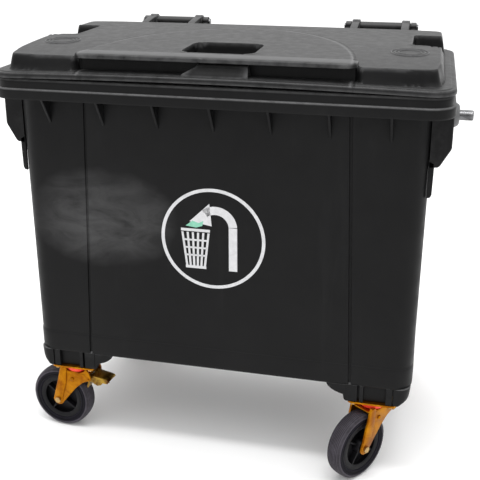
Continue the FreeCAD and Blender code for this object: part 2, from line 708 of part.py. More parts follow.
def make_brake(name, place):
    """Foot pedal on a cross pin, with the toothed shoe that it swings against the tyre."""
    x, z = dim("pedal_x"), dim("pedal_z")
    side = dim("leg_inside") + dim("leg_thick")
    pin = rod(Y_DIR, (x, -side - 2, z), side * 2 + 4, dim("pedal_pin_radius"))
    node(pin, "pedal_pin_" + name, place)

    pedal = new_body("pedal")
    outline = sketch_on(pedal, "XZ_Plane")
    polygon(outline, [(x + 9, z - 8), (x + 9, z + 8), (x - 8, z + 9), (x - 30, z + 4), (x - 62, z + 2),
                      (x - 66, z - 4), (x - 58, z - 10), (x - 30, z - 8), (x - 10, z - 12)])
    extrude(pedal, "Pad", outline, Size(46, "46"), symmetric=True)
    bore = sketch_on(pedal, "XZ_Plane")
    ring(bore, (x, z), dim("pedal_pin_radius") + 0.05)
    extrude(pedal, "Pocket", bore, 60, symmetric=True)
    slot = sketch_on(pedal, "XZ_Plane")
    box_outline(slot, x - 50, x - 14, z - 20, z + 1)
    extrude(pedal, "Pocket", slot, 34, symmetric=True)
    node(pedal, "brake_pedal_" + name, place)

    shoe = new_body("shoe")
    lean = math.radians(-71.0)
    along = (math.cos(lean), math.sin(lean))
    across = (-along[1], along[0])
    blade = sketch_on(shoe, "XZ_Plane")
    corners = ((9.5, -3), (37, -3), (40, 0), (37, 3), (9.5, 3))
    polygon(blade, [(x + along[0] * far + across[0] * off, z + along[1] * far + across[1] * off)
                    for far, off in corners])
    extrude(shoe, "Pad", blade, Size(40, "40"), symmetric=True)
    node(shoe, "brake_shoe_" + name, place)


def make_casters():
    top = dim("caster_top")
    for name, x, y in caster_spots():
        _, _, heading, braked = CASTERS[name]
        fixed = shifted(x, y, 0)
        turned = shifted(x, y, 0, heading)
        plate = new_body("plate")
        outline = sketch_on(plate, "XY_Plane", top - dim("plate_thick"))
        rounded(outline, -dim("plate_long") / 2, dim("plate_long") / 2, -dim("plate_short") / 2,
                dim("plate_short") / 2, Size(12, "12"))
        ring(outline, (Size(0, "0"), Size(0, "0")), dim("king_radius") + 0.05)
        for dx in (-1, 1):
            for dy in (-1, 1):
                ring(outline, (dim("bolt_long") / 2 * dx, dim("bolt_short") / 2 * dy), dim("bolt_radius") + 0.5)
        extrude(plate, "Pad", outline, dim("plate_thick"))
        node(plate, "caster_plate_" + name, fixed)

        crown_top = dim("crown_z") + dim("crown_thick")
        gap = top - dim("plate_thick") - crown_top - 0.4
        race = rod(Z_DIR, (0, 0, crown_top), gap, 28, dim("king_radius") + 0.4)
        node(race, "ball_race_" + name, turned)
        seal = rod(Z_DIR, (0, 0, crown_top), gap, 40, 28.2)
        node(seal, "dust_ring_" + name, turned)
        make_fork("fork_" + name, turned)
        make_axle(name, turned)
        make_wheel(name, turned)
        if braked:
            make_brake(name, turned)


def make_fasteners():
    """King pins, plate bolts and the threaded inserts moulded into the pods."""
    top, thick = dim("caster_top"), dim("plate_thick")
    spots = [shifted(x, y, 0) for _, x, y in caster_spots()]
    shank = rod(Z_DIR, (0, 0, dim("crown_z") - 1), top - dim("crown_z"), dim("king_radius"))
    head = hexagon(Z_DIR, (0, 0, dim("crown_z") - 7.4), 7, Size(22, "22"))
    group("king_pins", fuse(shank, head), spots)

    corners = []
    for spot in spots:
        for dx in (-1, 1):
            for dy in (-1, 1):
                corner = shifted(dim("bolt_long") / 2 * dx, dim("bolt_short") / 2 * dy, 0)
                corners.append(spot.multiply(corner))
    stem = rod(Z_DIR, (0, 0, top - thick - 1), 27, dim("bolt_radius"))
    cap = hexagon(Z_DIR, (0, 0, top - thick - 6.5), 6.5, Size(15, "15"))
    group("plate_bolts", fuse(stem, cap), corners)
    insert = rod(Z_DIR, (0, 0, top + 1), 30, dim("bolt_radius") + 4, dim("bolt_radius"))
    group("pod_inserts", insert, corners)


make_tub()
make_lid()
make_handles()
make_trunnions()
make_drain()
make_casters()
make_fasteners()
doc.recompute()

for thing in doc.Objects:
    if "Invalid" in thing.State or "Error" in thing.State:
        raise RuntimeError("%s (%s) is in state %s" % (thing.Name, thing.Label, thing.State))
for thing in NODES:
    if thing.Shape.isNull() or not thing.Shape.isValid():
        raise RuntimeError("%s has no valid shape" % thing.Label)

os.makedirs("parts", exist_ok=True)
for thing in NODES:
    thing.Shape.exportStep(os.path.join("parts", thing.Label + ".step"))
print("wrote %d sub-parts" % len(NODES))
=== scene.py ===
import json
import math
import bpy
import bmesh
from mathutils import Vector, Matrix


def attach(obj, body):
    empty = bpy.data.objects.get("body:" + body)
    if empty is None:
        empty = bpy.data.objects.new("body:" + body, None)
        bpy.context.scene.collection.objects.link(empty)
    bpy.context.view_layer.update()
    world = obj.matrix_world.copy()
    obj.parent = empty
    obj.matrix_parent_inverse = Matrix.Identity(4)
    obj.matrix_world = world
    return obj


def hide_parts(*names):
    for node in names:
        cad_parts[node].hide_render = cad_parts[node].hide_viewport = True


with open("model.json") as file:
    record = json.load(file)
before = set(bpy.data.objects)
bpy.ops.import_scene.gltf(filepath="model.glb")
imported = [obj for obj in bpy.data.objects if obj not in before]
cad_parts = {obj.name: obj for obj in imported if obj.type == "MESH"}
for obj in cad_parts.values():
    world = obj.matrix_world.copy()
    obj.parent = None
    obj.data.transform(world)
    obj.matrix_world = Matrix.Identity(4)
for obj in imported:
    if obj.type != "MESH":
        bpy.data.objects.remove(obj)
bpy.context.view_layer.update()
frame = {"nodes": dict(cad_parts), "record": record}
NODES = frame["nodes"]
scene = bpy.context.scene

# Sizes in millimetres: X to the right, Y to the rear, Z up from the ground.
MM = 0.001
FLOOR, RIM_LOW = 287, 1085                  # underside of the tub and of its rim band
RIM = (627, -389, 316, 70)                  # half width, front, rear, corner radius
LID_BOX = (625, -387, 314, 68)              # the same for the lid's edge
SKIN = 6                                    # thickness of the tub's wall
GROOVE = 4.9                                # depth of the grooves between the wall's panels
HINGE_Y, HINGE_Z = 394.2, 1210              # line of the lid's hinge
HANDLE_MIDDLES = (34 - 353, 34 + 353)       # X of the two handles' middles
BRACKET_REACH, LUG_REACH = 106, 81          # from a handle's middle to the tub's brackets and the lid's lugs
ARCH_HALF, ARCH_FRONT, ARCH_DEEP = 368, -374, 559
ARCH_POWER = 1.95                           # the arched panel of the lid is a superellipse
NOTCH_INNER, NOTCH_FRONT, NOTCH_REAR = 505, -44, 150
POCKET_HALF, POCKET_FRONT, POCKET_REAR = 99, -300, -128
LIP_HALF = 388                              # middle of the ends of the lid's front recess
TRUNNION = (0, -18, 1019)                   # axis of the lifting pins
AXLE_X, AXLE_Z = 62, 100                    # a wheel's axle, in its caster's own frame
WHEEL_CENTRE = (AXLE_X, 0, AXLE_Z)
CASTER_X, FRONT_ROW, REAR_ROW = 456, -278, 186
POD_INNER = 52                              # from a row of casters to the inner faces of its pods
SIGN = (-5, 700)                            # X and Z of the sign's centre
# X, Y and heading of each caster; the heading turns its trail, in degrees.
CASTERS = {"front_left": (-CASTER_X, FRONT_ROW, 173), "front_right": (CASTER_X, FRONT_ROW, 232),
           "rear_left": (-CASTER_X, REAR_ROW, 40), "rear_right": (CASTER_X, REAR_ROW, 75)}


# ---------------------------------------------------------------- small maths

def clamp(v, low=0.0, high=1.0):
    return max(low, min(high, v))


def mix(a, b, t):
    return a + (b - a) * t


def smooth(a, b, v):
    t = clamp((v - a) / (b - a))
    return t * t * (3 - 2 * t)


def turned(x, y, rx, ry, angles):
    """Points of an ellipse about (x, y) at these angles, in degrees."""
    return [(x + rx * math.cos(math.radians(a)), y + ry * math.sin(math.radians(a))) for a in angles]


def box_distance(x, y, x0, x1, y0, y1, r):
    """Signed distance from a rounded rectangle, negative inside."""
    dx = abs(x - (x0 + x1) / 2) - (x1 - x0) / 2 + r
    dy = abs(y - (y0 + y1) / 2) - (y1 - y0) / 2 + r
    return math.hypot(max(dx, 0), max(dy, 0)) + min(max(dx, dy), 0) - r


def stations(low, high, dense, step):
    """Sorted positions from low to high: the dense ones, with gaps filled so that none is over step."""
    marks = sorted({low, high, *[d for d in dense if low < d < high]})
    out = [marks[0]]
    for a, b in zip(marks, marks[1:]):
        if b - a < 0.4:
            continue
        count = max(1, math.ceil((b - a) / step))
        out += [a + (b - a) * (i + 1) / count for i in range(count)]
    return out


# ---------------------------------------------------------------- materials

class Paint:
    """A node material under construction: helpers that add and link shader nodes."""

    def __init__(self, name, rough, metal=0.0, spec=0.5):
        self.mat = bpy.data.materials.new(name)
        self.mat.use_nodes = True
        self.tree = self.mat.node_tree
        self.shader = self.tree.nodes["Principled BSDF"]
        self.shader.inputs["Roughness"].default_value = rough
        self.shader.inputs["Metallic"].default_value = metal
        self.shader.inputs["Specular IOR Level"].default_value = spec
        self.where = self.tree.nodes.new("ShaderNodeTexCoord").outputs["Object"]
        self.bump_in = None

    def add(self, kind, **values):
        made = self.tree.nodes.new(kind)
        for key, value in values.items():
            setattr(made, key, value)
        return made

    def put(self, socket, value):
        if isinstance(value, bpy.types.NodeSocket):
            self.tree.links.new(value, socket)
        else:
            socket.default_value = value

    def stretch(self, x, y, z):
        made = self.add("ShaderNodeMapping")
        made.inputs["Scale"].default_value = (x, y, z)
        self.put(made.inputs["Vector"], self.where)
        return made.outputs["Vector"]

    def noise(self, scale, detail=4.0, rough=0.55, vector=None, warp=0.0):
        made = self.add("ShaderNodeTexNoise")
        made.inputs["Scale"].default_value = scale
        made.inputs["Detail"].default_value = detail
        made.inputs["Roughness"].default_value = rough
        made.inputs["Distortion"].default_value = warp
        self.put(made.inputs["Vector"], vector or self.where)
        return made.outputs["Fac"]

    def span(self, fac, a, b, low, high):
        made = self.add("ShaderNodeMapRange")
        for key, value in (("From Min", a), ("From Max", b), ("To Min", low), ("To Max", high)):
            made.inputs[key].default_value = value
        self.put(made.inputs["Value"], fac)
        return made.outputs["Result"]

    def maths(self, op, a, b=0.0):
        made = self.add("ShaderNodeMath", operation=op)
        self.put(made.inputs[0], a)
        self.put(made.inputs[1], b)
        return made.outputs[0]

    def blend(self, fac, a, b):
        made = self.add("ShaderNodeMix", data_type="RGBA")
        self.put(made.inputs["Factor"], fac)
        self.put(made.inputs[6], a if isinstance(a, bpy.types.NodeSocket) else (*a, 1.0))
        self.put(made.inputs[7], b if isinstance(b, bpy.types.NodeSocket) else (*b, 1.0))
        return made.outputs[2]

    def split(self, vector):
        made = self.add("ShaderNodeSeparateXYZ")
        self.put(made.inputs[0], vector)
        return made.outputs

    def facing_up(self):
        return self.split(self.add("ShaderNodeNewGeometry").outputs["Normal"])[2]

    def edges(self, low, high):
        """1 along convex edges, from the pointiness of the mesh; used for edge wear, and on the lid also for
        painted highlights.
        """
        point = self.add("ShaderNodeNewGeometry").outputs["Pointiness"]
        return self.span(point, low, high, 0.0, 1.0)

    def bump(self, height, distance, strength=1.0):
        made = self.add("ShaderNodeBump")
        made.inputs["Distance"].default_value = distance
        made.inputs["Strength"].default_value = strength
        self.put(made.inputs["Height"], height)
        if self.bump_in is not None:
            self.put(made.inputs["Normal"], self.bump_in)
        self.bump_in = made.outputs["Normal"]

    def finish(self, colour, rough=None):
        self.put(self.shader.inputs["Base Color"], colour)
        if rough is not None:
            self.put(self.shader.inputs["Roughness"], rough)
        if self.bump_in is not None:
            self.put(self.shader.inputs["Normal"], self.bump_in)
        return self.mat


def moulded(name, dark, light, rough, dust=0.35, waves=True, scuff=False, spec=0.5, ledge=0.13,
            arched=False):
    """Moulded polyethylene: uneven gloss, fine grain, slow waves, and up-facing ledges and tops lightened,
    part dust and part painted light from above. With scuff it has a rubbed patch on the front wall, and with
    arched the crease of the lid, with a painted shade line on it and a painted highlight line beside it, and
    the lid's scratches."""
    p = Paint(name, rough, spec=spec)
    broad = p.noise(2.3, 5, 0.6)
    fine = p.noise(38.0, 6, 0.65)
    grain = p.noise(900.0, 2, 0.5)
    tint = p.blend(p.span(broad, 0.35, 0.65, 0.0, 1.0), dark, light)
    streaks = p.noise(14.0, 5, 0.7, p.stretch(1.0, 1.0, 0.12), 0.4)
    streak = p.span(streaks, 0.56, 0.78, 0.0, 0.35)
    tint = p.blend(streak, tint, tuple(c * 2.1 for c in light))
    # Up-facing surfaces are lightened towards the ledge grey: part settled dust, part painted light from
    # above that brightens the ledges and tops.
    up = p.span(p.facing_up(), 0.25, 0.85, 0.0, 1.0)
    dust_and_top_light = p.maths("MULTIPLY", up, p.span(fine, 0.30, 0.62, 0.55, 1.0))
    dust_and_top_light = p.maths("MULTIPLY", dust_and_top_light, dust)
    tint = p.blend(dust_and_top_light, tint, (ledge, ledge, ledge * 1.01))
    gloss = p.span(fine, 0.3, 0.7, rough - 0.07, rough + 0.09)
    if scuff:
        along = p.split(p.where)
        patch_x, patch_z, narrow, flat = 0.33, 0.745, 4.6, 6.6
        across = p.maths("MULTIPLY", p.maths("ADD", along[0], patch_x), narrow)
        tall = p.maths("MULTIPLY", p.maths("SUBTRACT", along[2], patch_z), flat)
        reach = p.maths("ADD", p.maths("MULTIPLY", across, across), p.maths("MULTIPLY", tall, tall))
        ragged = p.maths("MULTIPLY", p.maths("SUBTRACT", broad, 0.5), 1.7)
        patch = p.span(p.maths("ADD", reach, ragged), 0.10, 1.05, 1.0, 0.0)
        front = p.span(along[1], -0.30, -0.33, 0.0, 1.0)
        rubbed = p.noise(7.0, 6, 0.62, p.stretch(1.0, 1.0, 2.2), 1.1)
        mask = p.maths("MULTIPLY", p.span(rubbed, 0.34, 0.62, 0.22, 0.62),
                       p.maths("MULTIPLY", patch, front))
        tint = p.blend(mask, tint, (0.085, 0.085, 0.086))
        gloss = p.maths("ADD", gloss, p.maths("MULTIPLY", mask, 0.16))
    if arched:
        where = p.split(p.where)
        wide = p.maths("MULTIPLY", p.maths("ABSOLUTE", where[0]), 1 / (ARCH_HALF * MM))
        wide = p.maths("POWER", wide, ARCH_POWER)
        deep = p.maths("MAXIMUM", p.maths("ADD", where[1], -ARCH_FRONT * MM), 0.0)
        deep = p.maths("MULTIPLY", deep, 1 / (ARCH_DEEP * MM))
        reach = p.maths("ADD", wide, p.maths("POWER", deep, ARCH_POWER))
        reach = p.maths("POWER", reach, 1 / ARCH_POWER)
        # Along the crease of the arched panel, on up-facing surfaces: a painted shade line on the crease.
        off = p.maths("ABSOLUTE", p.maths("SUBTRACT", reach, 1.014))
        painted_crease_shade = p.maths("MULTIPLY", p.span(off, 0.0, 0.011, 1.0, 0.0), up)
        tint = p.blend(p.maths("MULTIPLY", painted_crease_shade, 0.6), tint, dark)
        # bright is a painted highlight line just inside the crease.
        bright = p.span(p.maths("ABSOLUTE", p.maths("SUBTRACT", reach, 0.990)), 0.0, 0.016, 0.42, 0.0)
        tint = p.blend(p.maths("MULTIPLY", bright, up), tint, (0.16, 0.16, 0.162))
        p.bump(p.span(off, 0.0, 0.011, 0.0, 1.0), 0.0022, 0.6)
        marks = p.span(p.noise(30.0, 6, 0.75, p.stretch(1.0, 2.2, 1.0), 0.9), 0.60, 0.74, 0.0, 0.55)
        tint = p.blend(p.maths("MULTIPLY", marks, up), tint, (0.17, 0.17, 0.172))
    # Convex edges lightened: on the tub slight wear; on the lid strong, part wear and part painted highlight
    # on the rounded edges and the front lip.
    if arched:
        worn = p.maths("MULTIPLY", p.edges(0.515, 0.56), p.span(fine, 0.30, 0.55, 0.12, 0.40))
    else:
        worn = p.maths("MULTIPLY", p.edges(0.53, 0.60), p.span(fine, 0.42, 0.62, 0.0, 0.05))
    tint = p.blend(worn, tint, (0.15, 0.15, 0.152))
    p.bump(grain, 0.00018, 0.5)
    p.bump(fine, 0.0006, 0.25)
    if waves:
        p.bump(p.noise(4.2, 2, 0.4, p.stretch(1.0, 1.0, 0.6)), 0.010, 0.22)
    return p.finish(tint, gloss)


def rubber(name, worn=(0.0115, 0.0100, 0.0150), spec=0.13):
    """Solid black tyre rubber, greyed and scuffed by the road."""
    p = Paint(name, 0.62, spec=spec)
    broad = p.noise(19.0, 6, 0.68, warp=0.7)
    specks = p.noise(210.0, 5, 0.7)
    tint = p.blend(p.span(broad, 0.42, 0.66, 0.0, 1.0), tuple(c * 0.30 for c in worn), worn)
    tint = p.blend(p.span(specks, 0.62, 0.76, 0.0, 0.4), tint, tuple(c * 3.2 for c in worn))
    tint = p.blend(p.maths("MULTIPLY", p.edges(0.52, 0.60), 0.6), tint, tuple(c * 3.0 for c in worn))
    p.bump(specks, 0.0006, 0.55)
    p.bump(broad, 0.0012, 0.35)
    return p.finish(tint, p.span(broad, 0.3, 0.7, 0.48, 0.78))


def plated(name, low, high, rough, flecks=(0.5, 0.33, 0.12), metal=1.0, rust=0.35):
    """Chromated zinc: iridescent drift of hue, fine spangle, dull patches and a little dirt in scattered
    spots.
    """
    p = Paint(name, rough, metal=metal)
    broad = p.noise(26.0, 5, 0.6, warp=0.8)
    fine = p.noise(320.0, 4, 0.6)
    tint = p.blend(p.span(broad, 0.36, 0.64, 0.0, 1.0), low, high)
    tint = p.blend(p.span(fine, 0.55, 0.75, 0.0, 0.4), tint, flecks)
    spots = p.noise(70.0, 6, 0.72)
    tint = p.blend(p.span(spots, 0.60, 0.76, 0.0, rust), tint, tuple(c * 0.35 for c in flecks))
    p.bump(fine, 0.00015, 0.4)
    return p.finish(tint, p.span(broad, 0.3, 0.7, rough - 0.06, rough + 0.12))


def simple_plastic(name, dark, light, rough, grit=160.0, spec=0.5):
    p = Paint(name, rough, spec=spec)
    broad = p.noise(22.0, 4, 0.6)
    fine = p.noise(grit, 4, 0.6)
    tint = p.blend(p.span(broad, 0.35, 0.65, 0.0, 1.0), dark, light)
    tint = p.blend(p.span(fine, 0.60, 0.76, 0.0, 0.3), tint, tuple(c * 0.55 for c in dark))
    p.bump(fine, 0.0003, 0.4)
    return p.finish(tint, p.span(fine, 0.3, 0.7, rough - 0.06, rough + 0.08))


def sticker(name, low, high):
    """Printed vinyl: a little chalked, with scratches down to the plastic."""
    p = Paint(name, 0.42)
    wear = p.noise(60.0, 6, 0.7, warp=0.5)
    tint = p.blend(p.span(wear, 0.35, 0.65, 0.0, 1.0), low, high)
    lines = p.noise(34.0, 5, 0.7, p.stretch(1.0, 1.0, 5.0), 0.3)
    tint = p.blend(p.span(lines, 0.68, 0.76, 0.0, 0.55), tint, (0.10, 0.10, 0.10))
    p.bump(wear, 0.0001, 0.3)
    return p.finish(tint, p.span(wear, 0.3, 0.7, 0.36, 0.55))


# For these three, the fifth value and ledge set how far up-facing surfaces are lightened: part dust, part
# painted light from above.
TUB = moulded("tub_polyethylene", (0.0046, 0.0046, 0.0048), (0.0072, 0.0072, 0.0074), 0.42, 0.80,
              scuff=True, spec=0.115)
LID = moulded("lid_polyethylene", (0.0042, 0.0042, 0.0044), (0.0066, 0.0066, 0.0068), 0.34, 0.8,
              spec=0.12, ledge=0.037, arched=True)
GRIP = moulded("handle_polyethylene", (0.010, 0.010, 0.0102), (0.016, 0.016, 0.0163), 0.42, 0.4,
               waves=False, spec=0.3, ledge=0.07)
COLLAR = simple_plastic("collar_grey", (0.085, 0.086, 0.088), (0.125, 0.126, 0.128), 0.45)
STEEL = plated("turned_steel", (0.085, 0.085, 0.088), (0.22, 0.22, 0.225), 0.26, (0.12, 0.115, 0.11),
               rust=0.3)
BUSH = simple_plastic("bush_acetal", (0.050, 0.050, 0.051), (0.075, 0.075, 0.076), 0.40)
RUBBER = rubber("tyre_rubber_worn", (0.0072, 0.0062, 0.0105), 0.10)
# A lighter copy of the tyre rubber for the tread: grey road wear, and painted light on the tread faces that
# turn up to the lamps.
TREAD_LIT_AND_WORN = rubber("tyre_tread_lit_and_worn", (0.046, 0.041, 0.050), 0.2)
WHEEL = simple_plastic("wheel_polypropylene", (0.0022, 0.0022, 0.0030), (0.0060, 0.0055, 0.0070), 0.48,
                       spec=0.16)
RED = simple_plastic("dust_ring_red", (0.78, 0.040, 0.018), (0.92, 0.070, 0.030), 0.35, spec=0.3)
ZINC = plated("yellow_chromate", (0.24, 0.072, 0.0016), (0.46, 0.185, 0.0036), 0.36,
              (0.50, 0.13, 0.016), metal=0.97)
BROWN = plated("brake_chromate", (0.070, 0.022, 0.004), (0.40, 0.25, 0.035), 0.30,
               (0.045, 0.014, 0.006), metal=0.85, rust=0.85)
PALE = plated("bright_zinc_bolts", (0.30, 0.17, 0.055), (0.52, 0.37, 0.17), 0.32, (0.26, 0.15, 0.05),
              rust=0.5)
PLUG = simple_plastic("plug_black", (0.016, 0.016, 0.017), (0.028, 0.028, 0.028), 0.45)
SEAL = rubber("seal_rubber_soft")
RING = sticker("sticker_grey", (0.50, 0.50, 0.51), (0.60, 0.60, 0.61))
LEAF = sticker("sticker_green", (0.16, 0.42, 0.30), (0.22, 0.52, 0.38))

PAINTS = {"tub_plastic": TUB, "lid_plastic": LID, "handle_plastic": GRIP, "collar_plastic": COLLAR,
          "polished_steel": STEEL, "bush_plastic": BUSH, "tyre_rubber": RUBBER, "wheel_plastic": WHEEL,
          "dust_ring_plastic": RED, "yellow_zinc": ZINC, "plug_plastic": PLUG, "seal_rubber": SEAL,
          "bright_zinc": PALE}


# ---------------------------------------------------------------- mesh building, in millimetres

class Form:
    """Collects shapes in one mesh. Shapes are given in millimetres."""

    def __init__(self, place=None):
        self.bm = bmesh.new()
        self.place = place or Matrix.Identity(4)

    def join(self, other):
        """Moves all that a bmesh holds into this form, as it lies, and frees the bmesh."""
        mesh = bpy.data.meshes.new("part")
        other.to_mesh(mesh)
        other.free()
        self.bm.from_mesh(mesh)
        bpy.data.meshes.remove(mesh)

    def take(self, other):
        """Joins a temporary bmesh, moved to the form's own place."""
        bmesh.ops.recalc_face_normals(other, faces=other.faces)
        other.transform(self.place)
        self.join(other)

    def prism(self, points, axis, low, high, bevel=0.0, segments=2):
        """A polygon extruded along X, Y or Z from low to high, its edges rounded."""
        order = {"X": lambda u, v, w: (w, u, v), "Y": lambda u, v, w: (u, w, v),
                 "Z": lambda u, v, w: (u, v, w)}[axis]
        b = bmesh.new()
        ends = [[b.verts.new(order(u, v, w)) for u, v in points] for w in (low, high)]
        b.faces.new(ends[0])
        b.faces.new(list(reversed(ends[1])))
        n = len(points)
        for i in range(n):
            b.faces.new((ends[0][i], ends[1][i], ends[1][(i + 1) % n], ends[0][(i + 1) % n]))
        bmesh.ops.recalc_face_normals(b, faces=b.faces)
        if bevel:
            sharp = [e for e in b.edges if e.calc_face_angle(0.0) > math.radians(24)]
            bmesh.ops.bevel(b, geom=sharp, offset=bevel, segments=segments, profile=0.5, affect="EDGES",
                            clamp_overlap=True)
        self.take(b)

    def box(self, low, high, bevel=0.0, segments=2):
        self.prism([(low[0], low[1]), (high[0], low[1]), (high[0], high[1]), (low[0], high[1])],
                   "Z", low[2], high[2], bevel, segments)

    def lathe(self, profile, axis, centre, count=48, closed=True):
        """A profile of (along, radius) turned about an axis through centre. Closed joins its two ends."""
        b = bmesh.new()
        rings = []
        for along, radius in profile:
            ring = []
            for i in range(count):
                a = math.tau * i / count
                c, s = math.cos(a) * radius, math.sin(a) * radius
                spot = {"X": (along, c, s), "Y": (c, along, s), "Z": (c, s, along)}[axis]
                ring.append(b.verts.new(Vector(spot) + Vector(centre)))
            rings.append(ring)
        pairs = list(zip(rings, rings[1:])) + ([(rings[-1], rings[0])] if closed else [])
        for one, two in pairs:
            for i in range(count):
                b.faces.new((one[i], one[(i + 1) % count], two[(i + 1) % count], two[i]))
        if not closed:
            b.faces.new(rings[0])
            b.faces.new(list(reversed(rings[-1])))
        self.take(b)

    def rings(self, loops, cap_first=True, cap_last=True):
        """Quads between loops of equal length, with a cap on each end."""
        b = bmesh.new()
        made = [[b.verts.new(p) for p in loop] for loop in loops]
        n = len(made[0])
        for one, two in zip(made, made[1:]):
            for i in range(n):
                b.faces.new((one[i], one[(i + 1) % n], two[(i + 1) % n], two[i]))
        if cap_first:
            b.faces.new(list(reversed(made[0])))
        if cap_last:
            b.faces.new(made[-1])
        self.take(b)

    def plate(self, points, hole, low, high):
        """A flat plate in XZ with one hole, as quads and triangles between the outline and the hole."""
        b = bmesh.new()
        faces = []
        for y in (low, high):
            outer = [b.verts.new((u, y, v)) for u, v in points]
            inner = [b.verts.new((u, y, v)) for u, v in hole]
            edges = [b.edges.new((ring[i], ring[(i + 1) % len(ring)])) for ring in (outer, inner)
                     for i in range(len(ring))]
            bmesh.ops.triangle_fill(b, edges=edges, use_beauty=True)
            faces.append((outer, inner))
        for k in (0, 1):
            one, two = faces[0][k], faces[1][k]
            for i in range(len(one)):
                j = (i + 1) % len(one)
                b.faces.new((one[i], one[j], two[j], two[i]))
        self.take(b)

    def strip(self, loops):
        """A closed solid between open rows of points: quads along and across, with both ends capped."""
        b = bmesh.new()
        rows = [[b.verts.new(p) for p in row] for row in loops]
        n = len(rows)
        for k in range(n):
            one, two = rows[k], rows[(k + 1) % n]
            for i in range(len(one) - 1):
                b.faces.new((one[i], one[i + 1], two[i + 1], two[i]))
        b.faces.new([row[0] for row in rows])
        b.faces.new([row[-1] for row in reversed(rows)])
        self.take(b)

    def rod(self, start, stop, radius, count=8):
        """A short round bar between two points."""
        along = stop - start
        across = along.orthogonal().normalized()
        other = along.normalized().cross(across)
        loops = []
        for centre in (start, stop):
            loops.append([centre + (across * math.cos(math.tau * i / count) +
                                    other * math.sin(math.tau * i / count)) * radius for i in range(count)])
        self.rings(loops)

    def piece(self, name, body, slot, paint=None, sharp=32.0, replaces=()):
        """The finished object, riding on its body."""
        mesh = bpy.data.meshes.new(name)
        self.bm.transform(Matrix.Scale(MM, 4))
        self.bm.to_mesh(mesh)
        self.bm.free()
        mesh.materials.append(paint or PAINTS[slot])
        mesh.polygons.foreach_set("use_smooth", [True] * len(mesh.polygons))
        mesh.set_sharp_from_angle(angle=math.radians(sharp))
        obj = bpy.data.objects.new(name, mesh)
        scene.collection.objects.link(obj)
        if replaces:
            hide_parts(*replaces)
        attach(obj, body)
        return obj


# ---------------------------------------------------------------- tub

def wall_box(z, grow=0.0):
    """Half width, front, rear and corner radius of the tub's wall at a height."""
    t = clamp((z - FLOOR) / (RIM_LOW - FLOOR), 0.0, 1.06)
    return (mix(563, 574, t) + grow, mix(-328, -334, t) - grow, mix(252, 284, t) + grow,
            mix(50, 60, t) + grow)


def wall_front(z):
    return wall_box(z)[1]


def outline(box, z, grooves=0.0, joint=None):
    """A rounded rectangle at a height, with stations for the two panel grooves in front and behind."""
    half, front, rear, r = box
    r = max(r, 1.0)
    gx = mix(392, 366, clamp((z - FLOOR) / (RIM_LOW - FLOOR))) if joint is None else joint
    straight = half - r
    profile = ((-9, 0), (-4.4, 0.12), (-3.2, 1), (0, 1.05), (3.2, 1), (4.4, 0.12), (9, 0))
    marks = []
    for side in (-1, 1):
        marks += [(side * gx + off, depth * grooves) for off, depth in profile]
    low, high = marks[0][0], marks[-1][0]
    inner = (marks[6][0], marks[7][0])
    row = [(mix(-straight, low, i / 4), 0.0) for i in range(4)] + marks[:7]
    row += [(mix(inner[0], inner[1], i / 16), 0.0) for i in range(1, 16)] + marks[7:]
    row += [(mix(high, straight, i / 4), 0.0) for i in range(1, 5)]
    points = [(x, front + deep, z) for x, deep in row]
    corner = 9

    def arc(cx, cy, start):
        for i in range(1, corner):
            a = math.radians(start + 90 * i / corner)
            points.append((cx + r * math.cos(a), cy + r * math.sin(a), z))

    arc(half - r, front + r, -90)
    points.extend((half, mix(front + r, rear - r, i / 14), z) for i in range(15))
    arc(half - r, rear - r, 0)
    points.extend((x, rear - deep, z) for x, deep in reversed(row))
    arc(-half + r, rear - r, 90)
    points.extend((-half, mix(rear - r, front + r, i / 14), z) for i in range(15))
    arc(-half + r, front + r, 180)
    return points


def shrunk(box, d):
    return (box[0] - d, box[1] + d, box[2] - d, box[3] - d)


def make_tub():
    form = Form()
    loops = []
    for z, grow in ((287, -6), (287.6, -3), (289, -0.8), (291.5, 0.8), (296, 1.6), (308, 2), (330, 2),
                    (347, 2), (351, 1.6), (354, 0.8), (356, 0)):
        loops.append(outline(wall_box(z, grow), z, GROOVE if z > 293 else 0.0))
    for z in stations(360, 1128, (1010, 1085), 34):
        loops.append(outline(wall_box(z), z, GROOVE))
    for z, inset in ((1129, 12), (1120, 11.5), (1088, 7), (1085.4, 5), (1085, 3.5), (1085.4, 1.2),
                     (1087, 0.2), (1091, 0), (1105, 0), (1109, 0.3), (1111.6, 1.0), (1113.4, 2.4),
                     (1114.4, 4.4), (1114.8, 6.4), (1115.6, 7.0), (1118, 7.0), (1130, 7.0),
                     (1134.6, 7.5), (1137.8, 9.0), (1140, 11.8), (1141, 15.5)):
        loops.append(outline(shrunk(RIM, inset), z, joint=366))
    for z, grow in ((1141, -3), (1140, -5), (1136, -SKIN), (1100, -SKIN), (900, -SKIN), (600, -SKIN),
                    (330, -SKIN), (306, -9), (297, -16), (293, -30)):
        loops.append(outline(wall_box(min(z, 1080), grow), z))
    form.rings(loops)
    add_webs(form)
    add_wings(form)
    add_pods(form)
    add_brackets(form)
    return form.piece("tub_skin", "container", "tub_plastic", replaces=("tub",))


def add_webs(form):
    """Triangular webs under the rim, in front and behind."""
    for i in range(-3, 4):
        x = 157 * i
        for side in (-1, 1):
            near = wall_box(1080)[1 if side < 0 else 2]
            far = -382 if side < 0 else 309
            points = [(near - side * 3, 1100), (far, 1100), (far, 1084), (near + side * 1.2, 1013),
                      (near - side * 3, 1008)]
            form.prism(points, "X", x - 3.4, x + 3.4, 1.0, 2)


def wing_profile(depth):
    """(X, Z) of a wing's skin, from under the rim down, out, in and back to the wall."""
    return [(570, 1088), (624 - depth, 1088), (624 - depth, 1060), (624 - depth, 1010), (624 - depth, 996),
            (622 - depth, 990), (597 - depth * 0.4, 946), (592 - depth * 0.3, 942), (570, 941)]


